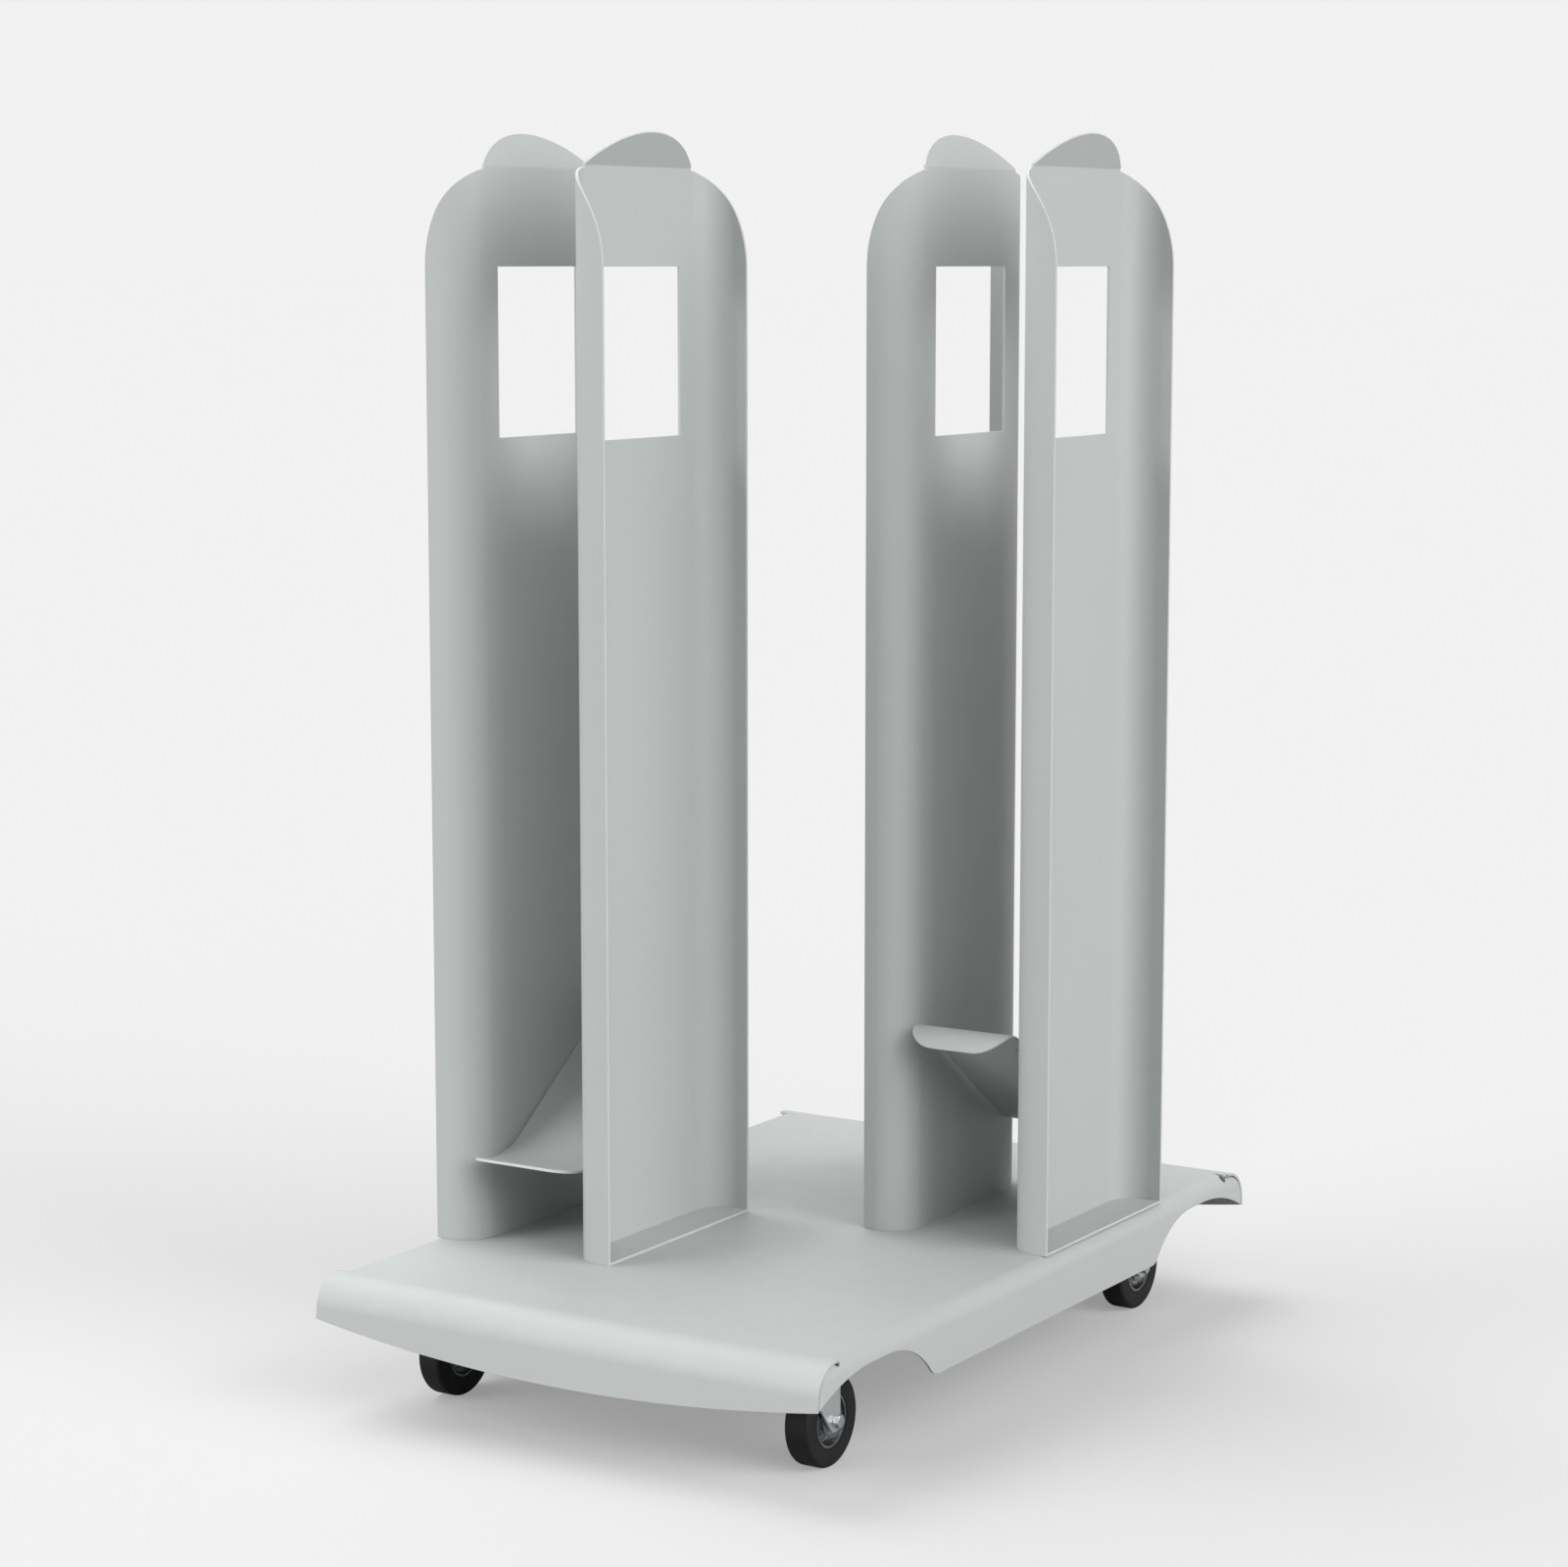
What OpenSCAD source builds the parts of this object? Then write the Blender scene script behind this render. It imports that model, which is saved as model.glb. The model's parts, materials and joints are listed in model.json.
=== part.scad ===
// Transport cart. A low sheet-steel platform on four swivel casters carries two towers.
// Each tower is a pair of tall bent-sheet columns with a slot between them, and a curved
// cradle low in the slot holds what stands in it. The towers are half-turn copies.
// Millimetres, +Z up, +Y to the back. The origin is on the floor under the deck's middle.

/* [Deck] */
// Width of the deck over its side skirts
deck_w = 632; // [620:1:680]
// Length of the deck over the bends at its ends
deck_l = 976; // [970:1:1060]
// Thickness of the deck sheet
deck_t = 3; // [2:0.5:4]
// Outer radius of the rolled ends
end_r = 36; // [30:1:38]
// Angle that the rolled ends turn through
end_turn = 84; // [78:1:90]
// Drop of an end skirt's lower edge below the deck, in the middle
end_drop = 69; // [62:1:75]
// Drop of an end skirt's lower edge below the deck, at its corners
end_corner_drop = 45; // [42:1:50]
// Outer radius of the bends along the sides
side_r = 18; // [10:1:18]
// Drop of a side skirt's lower edge between the wheel arches
side_drop = 66; // [50:1:75]
// Drop of the top of a wheel arch below the deck
arch_drop = 18.5; // [18.5:0.5:30]
// Length of the straight top of a wheel arch
arch_flat = 32; // [20:1:50]
// Radius of a wheel arch on the side of the deck's middle
arch_in_r = 112; // [95:1:125]
// Radius of a wheel arch towards the corner
arch_out_r = 230; // [200:1:260]
// Distance from a caster's pivot back to the middle of its wheel arch
arch_back = 21; // [10:1:30]
// Radius that rounds a side skirt beside the arch
skirt_fillet = 20; // [10:1:30]
// Gap between a side skirt and the rolled end that overlaps it
seam = 0.7; // [0.5:0.1:1.5]
// Width of the relief notch at each corner of the deck
relief_w = 3; // [2:0.5:5]
// Length of the flat stretch between a relief notch and the rolled end
relief_lead = 8; // [5:1:12]

/* [Underframe] */
// Height of the crossmembers between the casters and the deck
cross_h = 17; // [14:1:24]
// Width of a crossmember over its upright walls
cross_w = 100; // [96:1:104]
// Thickness of the crossmember sheet
cross_t = 3; // [2:0.5:4]
// Width of a crossmember's weld flanges
cross_flange = 14; // [10:1:15]
// Length of a crossmember
cross_l = 590; // [580:1:592]
// Radius of the hole that clears a kingpin nut
cross_hole_r = 15; // [13:0.5:18]

/* [Towers] */
// Distance from the cart's middle across to the middle of a slot
slot_x = 191.5; // [185:0.5:195]
// Width of a slot between its two columns
slot_w = 129; // [120:1:135]
// Distance between the two towers along the cart
tower_gap = 6; // [4:1:20]
// Width of a column
column_w = 281; // [270:1:290]
// Depth of a column from its web to its free edges
column_d = 52; // [48:1:56]
// Thickness of the column sheet
column_t = 3; // [2:0.5:4]
// Outer radius of a column's bends
column_r = 38; // [30:1:42]
// Height of a column's web above the deck
column_h = 1180; // [1000:5:1300]
// Width of the window in a web
window_w = 157; // [100:1:180]
// Height of the window
window_h = 185; // [120:1:220]
// Distance from the window's top up to the top of the web
window_drop = 106; // [80:1:130]
// Width of a column's rounded top corner, measured along the flat sheet
corner_w = 83; // [78:1:95]
// Height of a column's rounded top corner
corner_h = 106.5; // [80:0.5:130]
// Height of the half-moon ear above its bend
ear_h = 41; // [25:1:55]
// Angle at which an ear leans away from the slot
ear_lean = 30; // [10:1:45]
// Inner radius of an ear's bend
ear_bend_r = 3; // [2:0.5:5]
// Distance from an ear's end to the end of the flat web
ear_inset = 1; // [0.5:0.5:5]
// Width of the relief notch at each end of an ear's bend
ear_relief_w = 2.5; // [1.5:0.5:4]
// Depth of the relief notch at each end of an ear's bend
ear_relief_h = 3; // [1:0.5:6]

/* [Cradles] */
// Thickness of the cradle sheet
cradle_t = 3; // [2:0.5:4]
// Gap between a cradle's side edge and the web beside it
cradle_gap = 5; // [3:0.5:8]
// Height of a cradle's low end above the deck
cradle_z = 101.5; // [80:0.5:140]
// Distance that a cradle's low end reaches out of its slot
lip_out = 12.5; // [5:0.5:20]
// Length of the straight low lip
lip_l = 28; // [15:1:35]
// Angle at which the low lip tilts up and out
lip_tilt = 12.5; // [5:0.5:20]
// Radius of the trough
trough_r = 82; // [60:1:95]
// Angle of the straight slope
slope_a = 36.7; // [30:0.1:40]
// Length of the straight slope
slope_l = 202; // [160:1:220]
// Outer radius of the crest
crest_r = 32; // [28:1:40]
// Angle at which the crest's free edge points down
crest_turn = 63.5; // [60:0.5:70]
// Radius of the corners of the low lip
lip_corner_r = 15; // [8:1:20]
// Radius of the corners at the crest's free edge
crest_corner_r = 34; // [25:1:35]
// Width of the weld tabs that reach across to the webs
tab_w = 18; // [10:1:30]
// Distance from the crest's bend down to the upper weld tabs
tab_drop = 24; // [15:1:50]
// Distance from the trough's lowest line to the middle of the lower weld tabs
tab_rise = 20; // [0:1:30]

/* [Feet] */
// Thickness of the foot plate welded into the bottom of a column
foot_t = 3; // [2:0.5:5]
// Clearance of a foot plate inside the column's bends
foot_clear = 0.3; // [0.2:0.1:1]
// Radius of the weld studs under the feet, and of the caster bolts
stud_r = 4; // [3:0.5:4]
// Number of weld studs under each foot
foot_studs_n = 4; // [2:1:4]
// Distance between neighbouring weld studs
foot_pitch = 65; // [40:1:72]
// Length of a weld stud below its foot plate
stud_l = 16; // [15:1:20]
// Distance across the flats of the small hexagon nuts and heads
hex_af = 13; // [12:0.5:14]
// Height of the small hexagon nuts and heads
hex_h = 6.5; // [5:0.5:7]
// Outer radius of the washers
washer_r = 8; // [7:0.5:10]
// Thickness of the washers
washer_t = 1.6; // [1:0.1:2.5]
// Clearance round every fixed bolt or stud
bolt_clear = 0.5; // [0.2:0.1:1]
// Clearance between a bolt or stud and its nut
thread_clear = 0.05; // [0.02:0.01:0.1]

/* [Casters] */
// Distance from the cart's middle across to a caster's pivot
caster_x = 234.5; // [220:0.5:236]
// Distance from the cart's middle along to a caster's pivot
caster_y = 385; // [370:1:386]
// Diameter of a wheel
wheel_d = 100; // [90:1:105]
// Width of a wheel
wheel_w = 29; // [24:1:32]
// Distance from a caster's pivot back to its axle
trail = 35.5; // [30:0.5:38]
// Gap between the top of a wheel and the fork's crown
crown_gap = 3; // [2:0.5:6]
// Thickness of the fork sheet
fork_t = 3; // [2.5:0.5:4]
// Gap between a wheel and each fork leg
leg_gap = 1; // [0.6:0.1:3]
// Outer radius of the fork's bends
fork_r = 5; // [4:0.5:6]
// Distance from the axle to the fork legs' upright edge
leg_back = 9; // [7:0.5:11]
// Radius of the round end of a fork leg
leg_tip_r = 12; // [11:0.5:14]
// Angle at which a fork leg's front edge leans
leg_lean = 38; // [30:1:42]
// Height of the swivel bearing between the crown and the mounting plate
swivel_h = 20; // [20:1:26]
// Thickness of the mounting plate
plate_t = 4; // [3:0.5:5]
// Length of the mounting plate across the cart
plate_x = 105; // [100:1:112]
// Width of the mounting plate along the cart
plate_y = 85; // [80:1:90]
// Radius of the mounting plate's corners
plate_corner_r = 10; // [5:1:12]
// Distance between the plate's bolt holes across the cart
hole_x = 80; // [78:1:84]
// Distance between the plate's bolt holes along the cart
hole_y = 60; // [56:1:64]
// Length of a caster bolt under its head
plate_bolt_l = 16; // [14:1:17]
// Radius of the kingpin
kingpin_r = 6; // [5:0.5:7]
// Radius of the kingpin's head
kingpin_head_r = 11; // [10:0.5:12]
// Height of the kingpin's head
kingpin_head_h = 5; // [4:0.5:6]
// Distance across the flats of the kingpin nut
kingpin_af = 19; // [17:1:21]
// Height of the kingpin nut
kingpin_nut_h = 8; // [6:1:9]
// Running clearance of the pivots
run_clear = 0.05; // [0.03:0.01:0.08]
// Radius of the circle through the bearing balls
ball_circle_r = 23.5; // [22:0.5:25]
// Radius of a bearing ball
ball_r = 3.4; // [2.5:0.1:3.6]
// Number of bearing balls
balls_n = 18; // [8:1:18]
// Clearance of the balls in their grooves
ball_clear = 0.3; // [0.2:0.1:0.5]
// Inner radius of the two bearing races
race_in_r = 17; // [15:0.5:18]
// Outer radius of the two bearing races
race_out_r = 30; // [29:0.5:31]
// Thickness of the dust cup round the races
cup_t = 3; // [2:0.5:4]
// Gap between the dust cup and the lower race, and above the crown
cup_gap = 1.5; // [1:0.5:3]

/* [Wheels] */
// Radius of the axle sleeve
sleeve_r = 6; // [5.5:0.5:7]
// Outer radius of a wheel bearing
bearing_r = 14; // [12:0.5:15]
// Width of a wheel bearing
bearing_w = 8; // [6:0.5:10]
// Depth of the recess in a wheel bearing's faces
bearing_recess = 0.8; // [0.4:0.1:1.5]
// Outer radius of the rim's hub
hub_r = 18; // [17:0.5:20]
// Radius of the hub's bore between its bearings
hub_bore_r = 10; // [8:0.5:11]
// Radius of the rim under the tyre
rim_r = 29.5; // [26:0.5:32]
// Thickness of the rim's outer band
rim_band_t = 3; // [2:0.5:4]
// Thickness of the rim's disc
rim_disc_t = 6; // [4:0.5:10]
// Width of the rim's band inside the tyre
rim_w = 27; // [22:1:28]
// Height of the bevel at the tyre's edges
tyre_bevel = 3; // [1:0.5:5]

/* [Hidden] */
$fn = 96;
ARC_STEPS = 10;
ARC_STEP_A = 4;
ARCH_END_A = 30;
END_FACETS = 256;
EPS = 1;

CORNERS = [["front_left", -1, -1], ["front_right", 1, -1], ["back_left", -1, 1], ["back_right", 1, 1]];
CASTER_PIECES = ["plate", "balls", "kingpin", "fork", "axle_bolt", "axle_nut", "sleeve",
    "bearings", "rim", "tyre"];
FRAME_PIECES = ["deck", "front_crossmember", "back_crossmember",
    "left_outer_column", "left_inner_column", "right_inner_column", "right_outer_column",
    "left_outer_foot", "left_inner_foot", "right_inner_foot", "right_outer_foot",
    "left_cradle", "right_cradle", "foot_studs", "foot_washers", "foot_nuts",
    "weld_nuts", "caster_bolts", "kingpin_nuts"];

// Heights, from the floor up
axle_z = wheel_d / 2;
crown_low = wheel_d + crown_gap;
crown_top = crown_low + fork_t;
plate_low = crown_top + swivel_h;
plate_top = plate_low + plate_t;
cross_top = plate_top + cross_h;
deck_z = cross_top + deck_t;
column_top = deck_z + column_h;

// Deck
roll_y = deck_l / 2 - end_r;
roll_z = deck_z - end_r;
notch_y = roll_y - relief_lead;
side_end_y = notch_y - relief_w;
flat_x = deck_w / 2 - side_r;
end_low = deck_z - end_drop;
end_rise = end_drop - end_corner_drop;
end_arc_r = (pow(deck_w / 2, 2) + pow(end_rise, 2)) / (2 * end_rise);
side_low = deck_z - side_drop;
arch_z = deck_z - arch_drop;
arch_in_y = caster_y - arch_back - arch_flat / 2;
arch_out_y = arch_in_y + arch_flat;
arch_in_z = arch_z - arch_in_r;
arch_out_z = arch_z - arch_out_r;
fillet_z = side_low + skirt_fillet;
fillet_y = arch_in_y - sqrt(pow(arch_in_r + skirt_fillet, 2) - pow(fillet_z - arch_in_z, 2));
fillet_a = atan2(arch_in_z - fillet_z, arch_in_y - fillet_y);

// Columns: x runs from the web's slot face to the free edges, y along the web
tower_y = (column_w + tower_gap) / 2;
bend_x = column_r;
bend_y = column_w / 2 - column_r;
bend_mid_r = column_r - column_t / 2;
flange_l = column_d - column_r;
corner_base = column_top - corner_h;
ear_half = bend_y - ear_inset;
ear_arc_r = (pow(bend_y, 2) + pow(ear_h, 2)) / (2 * ear_h);
ear_bend_x = ear_bend_r + column_t;

// Cradle path along its upper face, as [along the slot, height]
lip_end = [-column_w / 2 - lip_out, deck_z + cradle_z];
trough_start = lip_end + lip_l * [cos(lip_tilt), -sin(lip_tilt)];
trough_mid = trough_start + trough_r * [sin(lip_tilt), cos(lip_tilt)];
slope_start = trough_mid + trough_r * [sin(slope_a), -cos(slope_a)];
slope_end = slope_start + slope_l * [cos(slope_a), sin(slope_a)];
upper_tab_y = slope_end[0] - (tab_drop + tab_w / 2) * cos(slope_a);
lower_tab_y = trough_mid[0] + tab_rise;
crest_mid = slope_end + crest_r * [sin(slope_a), -cos(slope_a)];
cradle_half = slot_w / 2 - cradle_gap;
crest_mid_r = crest_r - cradle_t / 2;

// Casters
fork_in = wheel_w / 2 + leg_gap;
fork_out = fork_in + fork_t;
ball_z = crown_top + swivel_h / 2;
race_split = ball_clear * 3;
hex_r = hex_af / 2 / cos(30);
kingpin_hex_r = kingpin_af / 2 / cos(30);
cup_in_r = race_out_r + cup_gap;
leg_front = [leg_tip_r * cos(leg_lean) - trail, axle_z - leg_tip_r * sin(leg_lean)];
crown_front = leg_front[0] + (crown_top - leg_front[1]) * tan(leg_lean);
foot_x = (column_t + column_d) / 2;

// Colours of the photographed finishes
POWDER = "#bcc1bf";
ZINC = "#c9ccce";
STEEL = "#a9adb0";
RUBBER = "#232324";

// Flat piece of a ring, or of a disc, between two angles less than 180 degrees apart
module sector(r_in, r_out, from_a, to_a) {
    far = 2 * r_out;
    intersection() {
        difference() {
            circle(r_out);
            if (r_in > 0) circle(r_in);
        }
        rotate(from_a) translate([-far, 0]) square([2 * far, far]);
        rotate(to_a) translate([-far, -far]) square([2 * far, far]);
    }
}

// Points of a round stretch of an outline, about every 4 degrees
function arc(mid, r, from_a, to_a) = let (n = ceil(abs(to_a - from_a) / ARC_STEP_A))
    [for (i = [0 : n]) let (a = from_a + (to_a - from_a) * i / n) mid + r * [cos(a), sin(a)]];

// A profile drawn in Y and Z, made solid along X about the middle
module along_x(l) { rotate([90, 0, 90]) linear_extrude(l, center = true) children(); }

// A profile drawn in X and Z, made solid along Y about the middle
module along_y(l) { rotate([90, 0, 0]) linear_extrude(l, center = true) children(); }

// The same shape at both ends of the cart
module both_ends() {
    children();
    mirror([0, 1, 0]) children();
}

// The same shape on both sides of the cart
module both_sides() {
    children();
    mirror([1, 0, 0]) children();
}

// What is outside a round corner, in the quarter of the plane that the corner points to
module outside_corner(r) {
    difference() {
        square(r + EPS);
        circle(r);
    }
}

module hexagon(r, h) { cylinder(r = r, h = h, $fn = 6); }

module ring(r_in, r_out, h) {
    difference() {
        cylinder(r = r_out, h = h);
        translate([0, 0, -EPS]) cylinder(r = r_in, h = h + 2 * EPS);
    }
}

// Deck

// Points of a face of the rolled end, in Y and Z: the bend and the skirt below it
function roll_points(r) = let (points = arc([roll_y, roll_z], r, 90, 90 - end_turn))
    concat(points, [points[len(points) - 1] + end_drop * [cos(end_turn), -sin(end_turn)]]);
function reversed(points) = [for (i = [len(points) - 1 : -1 : 0]) points[i]];

module end_profile() {
    polygon(concat([[notch_y, deck_z]], roll_points(end_r), reversed(roll_points(end_r - deck_t)),
        [[notch_y, deck_z - deck_t]]));
}

// Side view of the space that a side skirt may fill at one end, inside the rolled end
module inside_end_profile() {
    inner_r = end_r - deck_t - seam;
    polygon(concat([[0, side_low], [0, roll_z + inner_r]], roll_points(inner_r)));
}

// Side view of one wheel arch, cut out of a side skirt
module arch_profile() {
    polygon(concat([[fillet_y, side_low - EPS]],
        arc([fillet_y, fillet_z], skirt_fillet, -90, fillet_a),
        arc([arch_in_y, arch_in_z], arch_in_r, fillet_a + 180, 90),
        arc([arch_out_y, arch_out_z], arch_out_r, 90, ARCH_END_A)));
}

// Points of a face of the bend along one side, in X and Z, and of the skirt below it
function side_points(r) = concat([[flat_x - relief_lead, deck_z - side_r + r]],
    arc([flat_x, deck_z - side_r], r, 90, 0), [[flat_x + r, side_low]]);

module side_profile() { polygon(concat(side_points(side_r), reversed(side_points(side_r - deck_t)))); }

module side_skirt() {
    intersection() {
        along_y(deck_l + 2 * end_drop) side_profile();
        translate([flat_x, 0, 0]) along_x(2 * (side_r + EPS)) {
            difference() {
                union() {
                    translate([-side_end_y, side_low]) square([2 * side_end_y, side_drop]);
                    inside_end_profile();
                    mirror([1, 0]) inside_end_profile();
                }
                arch_profile();
                mirror([1, 0]) arch_profile();
            }
        }
    }
}

module rolled_end() {
    intersection() {
        along_x(deck_w) end_profile();
        translate([0, 0, end_low + end_arc_r]) rotate([90, 0, 0])
            cylinder(r = end_arc_r, h = 2 * deck_l, center = true, $fn = END_FACETS);
    }
}

module deck() {
    color(POWDER) difference() {
        union() {
            translate([-flat_x, -roll_y, cross_top]) cube([2 * flat_x, 2 * roll_y, deck_t]);
            both_ends() rolled_end();
            both_sides() side_skirt();
        }
        at_foot_studs() translate([0, 0, cross_top - EPS])
            cylinder(r = stud_r + bolt_clear, h = deck_t + 2 * EPS);
        both_ends() both_sides() translate([flat_x, notch_y - relief_w / 2, cross_top - EPS])
            cylinder(r = relief_w / 2, h = deck_t + 2 * EPS);
    }
}

// Underframe

// Hat section in Y and Z, open towards the deck
module cross_profile() {
    translate([-cross_w / 2, plate_top]) square([cross_w, cross_t]);
    for (s = [0, 1]) mirror([s, 0]) {
        translate([cross_w / 2 - cross_t, plate_top]) square([cross_t, cross_h]);
        translate([cross_w / 2, cross_top - cross_t]) square([cross_flange, cross_t]);
    }
}

module crossmember() {
    color(POWDER) difference() {
        translate([0, caster_y, 0]) along_x(cross_l) cross_profile();
        both_sides() translate([caster_x, caster_y, plate_top - EPS]) {
            at_plate_holes() cylinder(r = stud_r + bolt_clear, h = cross_t + 2 * EPS);
            cylinder(r = cross_hole_r, h = cross_t + 2 * EPS);
        }
    }
}

// Towers

// The left tower's frame is its slot's middle. The right tower is its copy turned by 180.
module in_left_tower() { translate([-slot_x, -tower_y, 0]) children(); }
module in_right_tower() { rotate([0, 0, 180]) in_left_tower() children(); }

// Places for a column or foot drawn with its slot face at x = 0 and its hollow towards +x
module on_inner_side() { translate([slot_w / 2, 0, 0]) children(); }
module on_outer_side() { mirror([1, 0, 0]) on_inner_side() children(); }

// Plan of a column: the web, two quarter bends and two flanges
module column_plan() {
    translate([0, -bend_y]) square([column_t, 2 * bend_y]);
    for (s = [0, 1]) mirror([0, s]) {
        translate([bend_x, bend_y]) sector(column_r - column_t, column_r, 90, 180);
        translate([bend_x, column_w / 2 - column_t]) square([flange_l, column_t]);
    }
}

// Height of the rounded top corner at a distance along the flat sheet from the free edge
function corner_z(s) = corner_base + corner_h * sqrt(1 - pow(1 - s / corner_w, 2));
// The same at an angle round the bend, 0 at the flange and 90 at the web
function corner_bend_z(a) = corner_z(flange_l + bend_mid_r * a * PI / 180);

// Seen along the web: the part of the corner on the flange and the bend's outer half
module corner_on_flange() {
    polygon(concat(
        [for (i = [0 : ARC_STEPS]) let (s = flange_l * i / ARC_STEPS) [column_d - s, corner_z(s)]],
        [for (i = [1 : ARC_STEPS]) let (a = 45 * i / ARC_STEPS)
            [bend_x - bend_mid_r * sin(a), corner_bend_z(a)]],
        [[bend_x - bend_mid_r * sin(45), column_top + EPS], [column_d + EPS, column_top + EPS],
            [column_d + EPS, corner_base]]));
}

// Seen across the web: the part of the corner on the bend's inner half
module corner_on_bend() {
    polygon(concat(
        [[column_w / 2 + EPS, column_top + EPS], [column_w / 2 + EPS, corner_bend_z(45)]],
        [for (i = [0 : ARC_STEPS]) let (a = 45 + 45 * i / ARC_STEPS)
            [bend_y + bend_mid_r * cos(a), corner_bend_z(a)]],
        [[bend_y, column_top + EPS]]));
}

// Half-moon ear on the web's top edge, leaning towards the hollow side
module ear() {
    up = [sin(ear_lean), cos(ear_lean)];
    away = [-cos(ear_lean), sin(ear_lean)];
    mid = [ear_bend_x, column_top];
    difference() {
        along_y(2 * ear_half) polygon(concat(
            arc(mid, ear_bend_x, 180, 180 - ear_lean),
            [mid + ear_bend_x * away + 2 * ear_h * up, mid + ear_bend_r * away + 2 * ear_h * up],
            arc(mid, ear_bend_r, 180 - ear_lean, 180)));
        translate([ear_bend_x, 0, column_top]) rotate([0, ear_lean, 0]) along_x(4 * ear_bend_x)
            difference() {
                translate([-column_w / 2, -EPS]) square([column_w, 2 * ear_h + 2 * EPS]);
                translate([0, ear_h - ear_arc_r]) circle(ear_arc_r);
            }
    }
}

module column() {
    color(POWDER) {
        difference() {
            translate([0, 0, deck_z]) linear_extrude(column_h) column_plan();
            translate([-EPS, -window_w / 2, column_top - window_drop - window_h])
                cube([column_t + 2 * EPS, window_w, window_h]);
            both_ends() {
                translate([-EPS, ear_half, column_top - ear_relief_h])
                    cube([column_t + 2 * EPS, ear_relief_w, ear_relief_h + EPS]);
                translate([0, bend_y + column_r / 2 + EPS, 0]) along_y(column_r) corner_on_flange();
                along_x(2 * (bend_x - bend_mid_r * sin(45))) corner_on_bend();
            }
        }
        ear();
    }
}

// Cradle

// Points of the cradle's upper face, or of the face a distance below it, in Y and Z
function cradle_points(below) = concat(
    [lip_end - below * [sin(lip_tilt), cos(lip_tilt)]],
    arc(trough_mid, trough_r + below, -90 - lip_tilt, slope_a - 90),
    arc(crest_mid, crest_r - below, 90 + slope_a, 90 - crest_turn));

module cradle_profile() { polygon(concat(cradle_points(0), reversed(cradle_points(cradle_t)))); }

// Gaps between the sheet and one web, in front of, between and behind the weld tabs
module cradle_side_gap() {
    starts = [lip_end[0] - EPS, lower_tab_y + tab_w / 2, upper_tab_y + tab_w / 2];
    ends = [lower_tab_y - tab_w / 2, upper_tab_y - tab_w / 2, crest_mid[0] + crest_r + EPS];
    for (i = [0 : 2]) translate([cradle_half, starts[i], deck_z])
        cube([cradle_gap + EPS, ends[i] - starts[i], crest_mid[1] + crest_r + EPS - deck_z]);
}

// The crest's corners are round in the flat sheet, which then follows the crest's bend.
// At an angle u round the corner, 0 at the free edge and 90 at the sheet's side:
function crest_corner_x(u) = cradle_half - crest_corner_r * (1 - sin(u));
function crest_corner_turn(u) = crest_turn - crest_corner_r * (1 - cos(u)) / crest_mid_r * 180 / PI;
// The angle u at which the crest's bend has turned by 45 degrees
crest_split = acos(1 - (crest_turn - 45) / 180 * PI * crest_mid_r / crest_corner_r);

// Seen along the slot: what the round corner takes off the steep half of the crest
module crest_cut_steep() {
    low_z = crest_mid[1] + (crest_r - cradle_t) * cos(crest_turn) - EPS;
    top_z = crest_mid[1] + crest_r + EPS;
    polygon(concat(
        [for (i = [0 : ARC_STEPS]) let (u = crest_split * i / ARC_STEPS)
            [crest_corner_x(u), crest_mid[1] + crest_mid_r * cos(crest_corner_turn(u))]],
        [[crest_corner_x(crest_split), top_z], [cradle_half + EPS, top_z],
            [cradle_half + EPS, low_z], [crest_corner_x(0), low_z]]));
}

// Seen from above: what it takes off the flat half
module crest_cut_flat() {
    polygon(concat(
        [for (i = [0 : ARC_STEPS]) let (u = crest_split + (90 - crest_split) * i / ARC_STEPS)
            [crest_corner_x(u), crest_mid[0] + crest_mid_r * sin(crest_corner_turn(u))]],
        [[cradle_half + EPS, crest_mid[0] + crest_mid_r * sin(crest_corner_turn(90))],
            [cradle_half + EPS, crest_mid[0] + crest_mid_r * sin(45)]]));
}

module cradle() {
    color(POWDER) difference() {
        along_x(slot_w) cradle_profile();
        both_sides() {
            cradle_side_gap();
            translate([cradle_half - lip_corner_r, lip_end[0] + lip_corner_r, trough_start[1] - lip_l])
                mirror([0, 1, 0]) linear_extrude(2 * lip_l) outside_corner(lip_corner_r);
            translate([0, crest_mid[0] + crest_mid_r * sin(45) + crest_r / 2, 0])
                along_y(crest_r) crest_cut_steep();
            translate([0, 0, crest_mid[1]]) linear_extrude(crest_r + EPS) crest_cut_flat();
        }
    }
}

// Feet

module foot() {
    inner_r = column_r - column_t;
    color(POWDER) translate([0, 0, deck_z]) linear_extrude(foot_t) {
        translate([bend_x, -column_w / 2 + column_t]) square([flange_l, column_w - 2 * column_t]);
        translate([column_t, -bend_y]) square([inner_r, 2 * bend_y]);
        for (s = [0, 1]) mirror([0, s]) translate([bend_x, bend_y])
            sector(0, inner_r - foot_clear, 90, 180);
    }
}

module at_studs_of_tower() {
    for (i = [0 : foot_studs_n - 1], s = [-1, 1])
        translate([s * (slot_w / 2 + foot_x), (i - (foot_studs_n - 1) / 2) * foot_pitch, 0]) children();
}

module at_foot_studs() {
    in_left_tower() at_studs_of_tower() children();
    in_right_tower() at_studs_of_tower() children();
}

module foot_studs() {
    color(ZINC) at_foot_studs() translate([0, 0, deck_z - stud_l]) cylinder(r = stud_r, h = stud_l);
}

module foot_washers() {
    color(ZINC) at_foot_studs() translate([0, 0, cross_top - washer_t])
        ring(stud_r + bolt_clear, washer_r, washer_t);
}

module nut(af_r, bore_r, h) {
    difference() {
        hexagon(af_r, h);
        translate([0, 0, -EPS]) cylinder(r = bore_r, h = h + 2 * EPS);
    }
}

module foot_nuts() {
    color(ZINC) at_foot_studs() translate([0, 0, cross_top - washer_t - hex_h])
        nut(hex_r, stud_r + thread_clear, hex_h);
}

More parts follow.
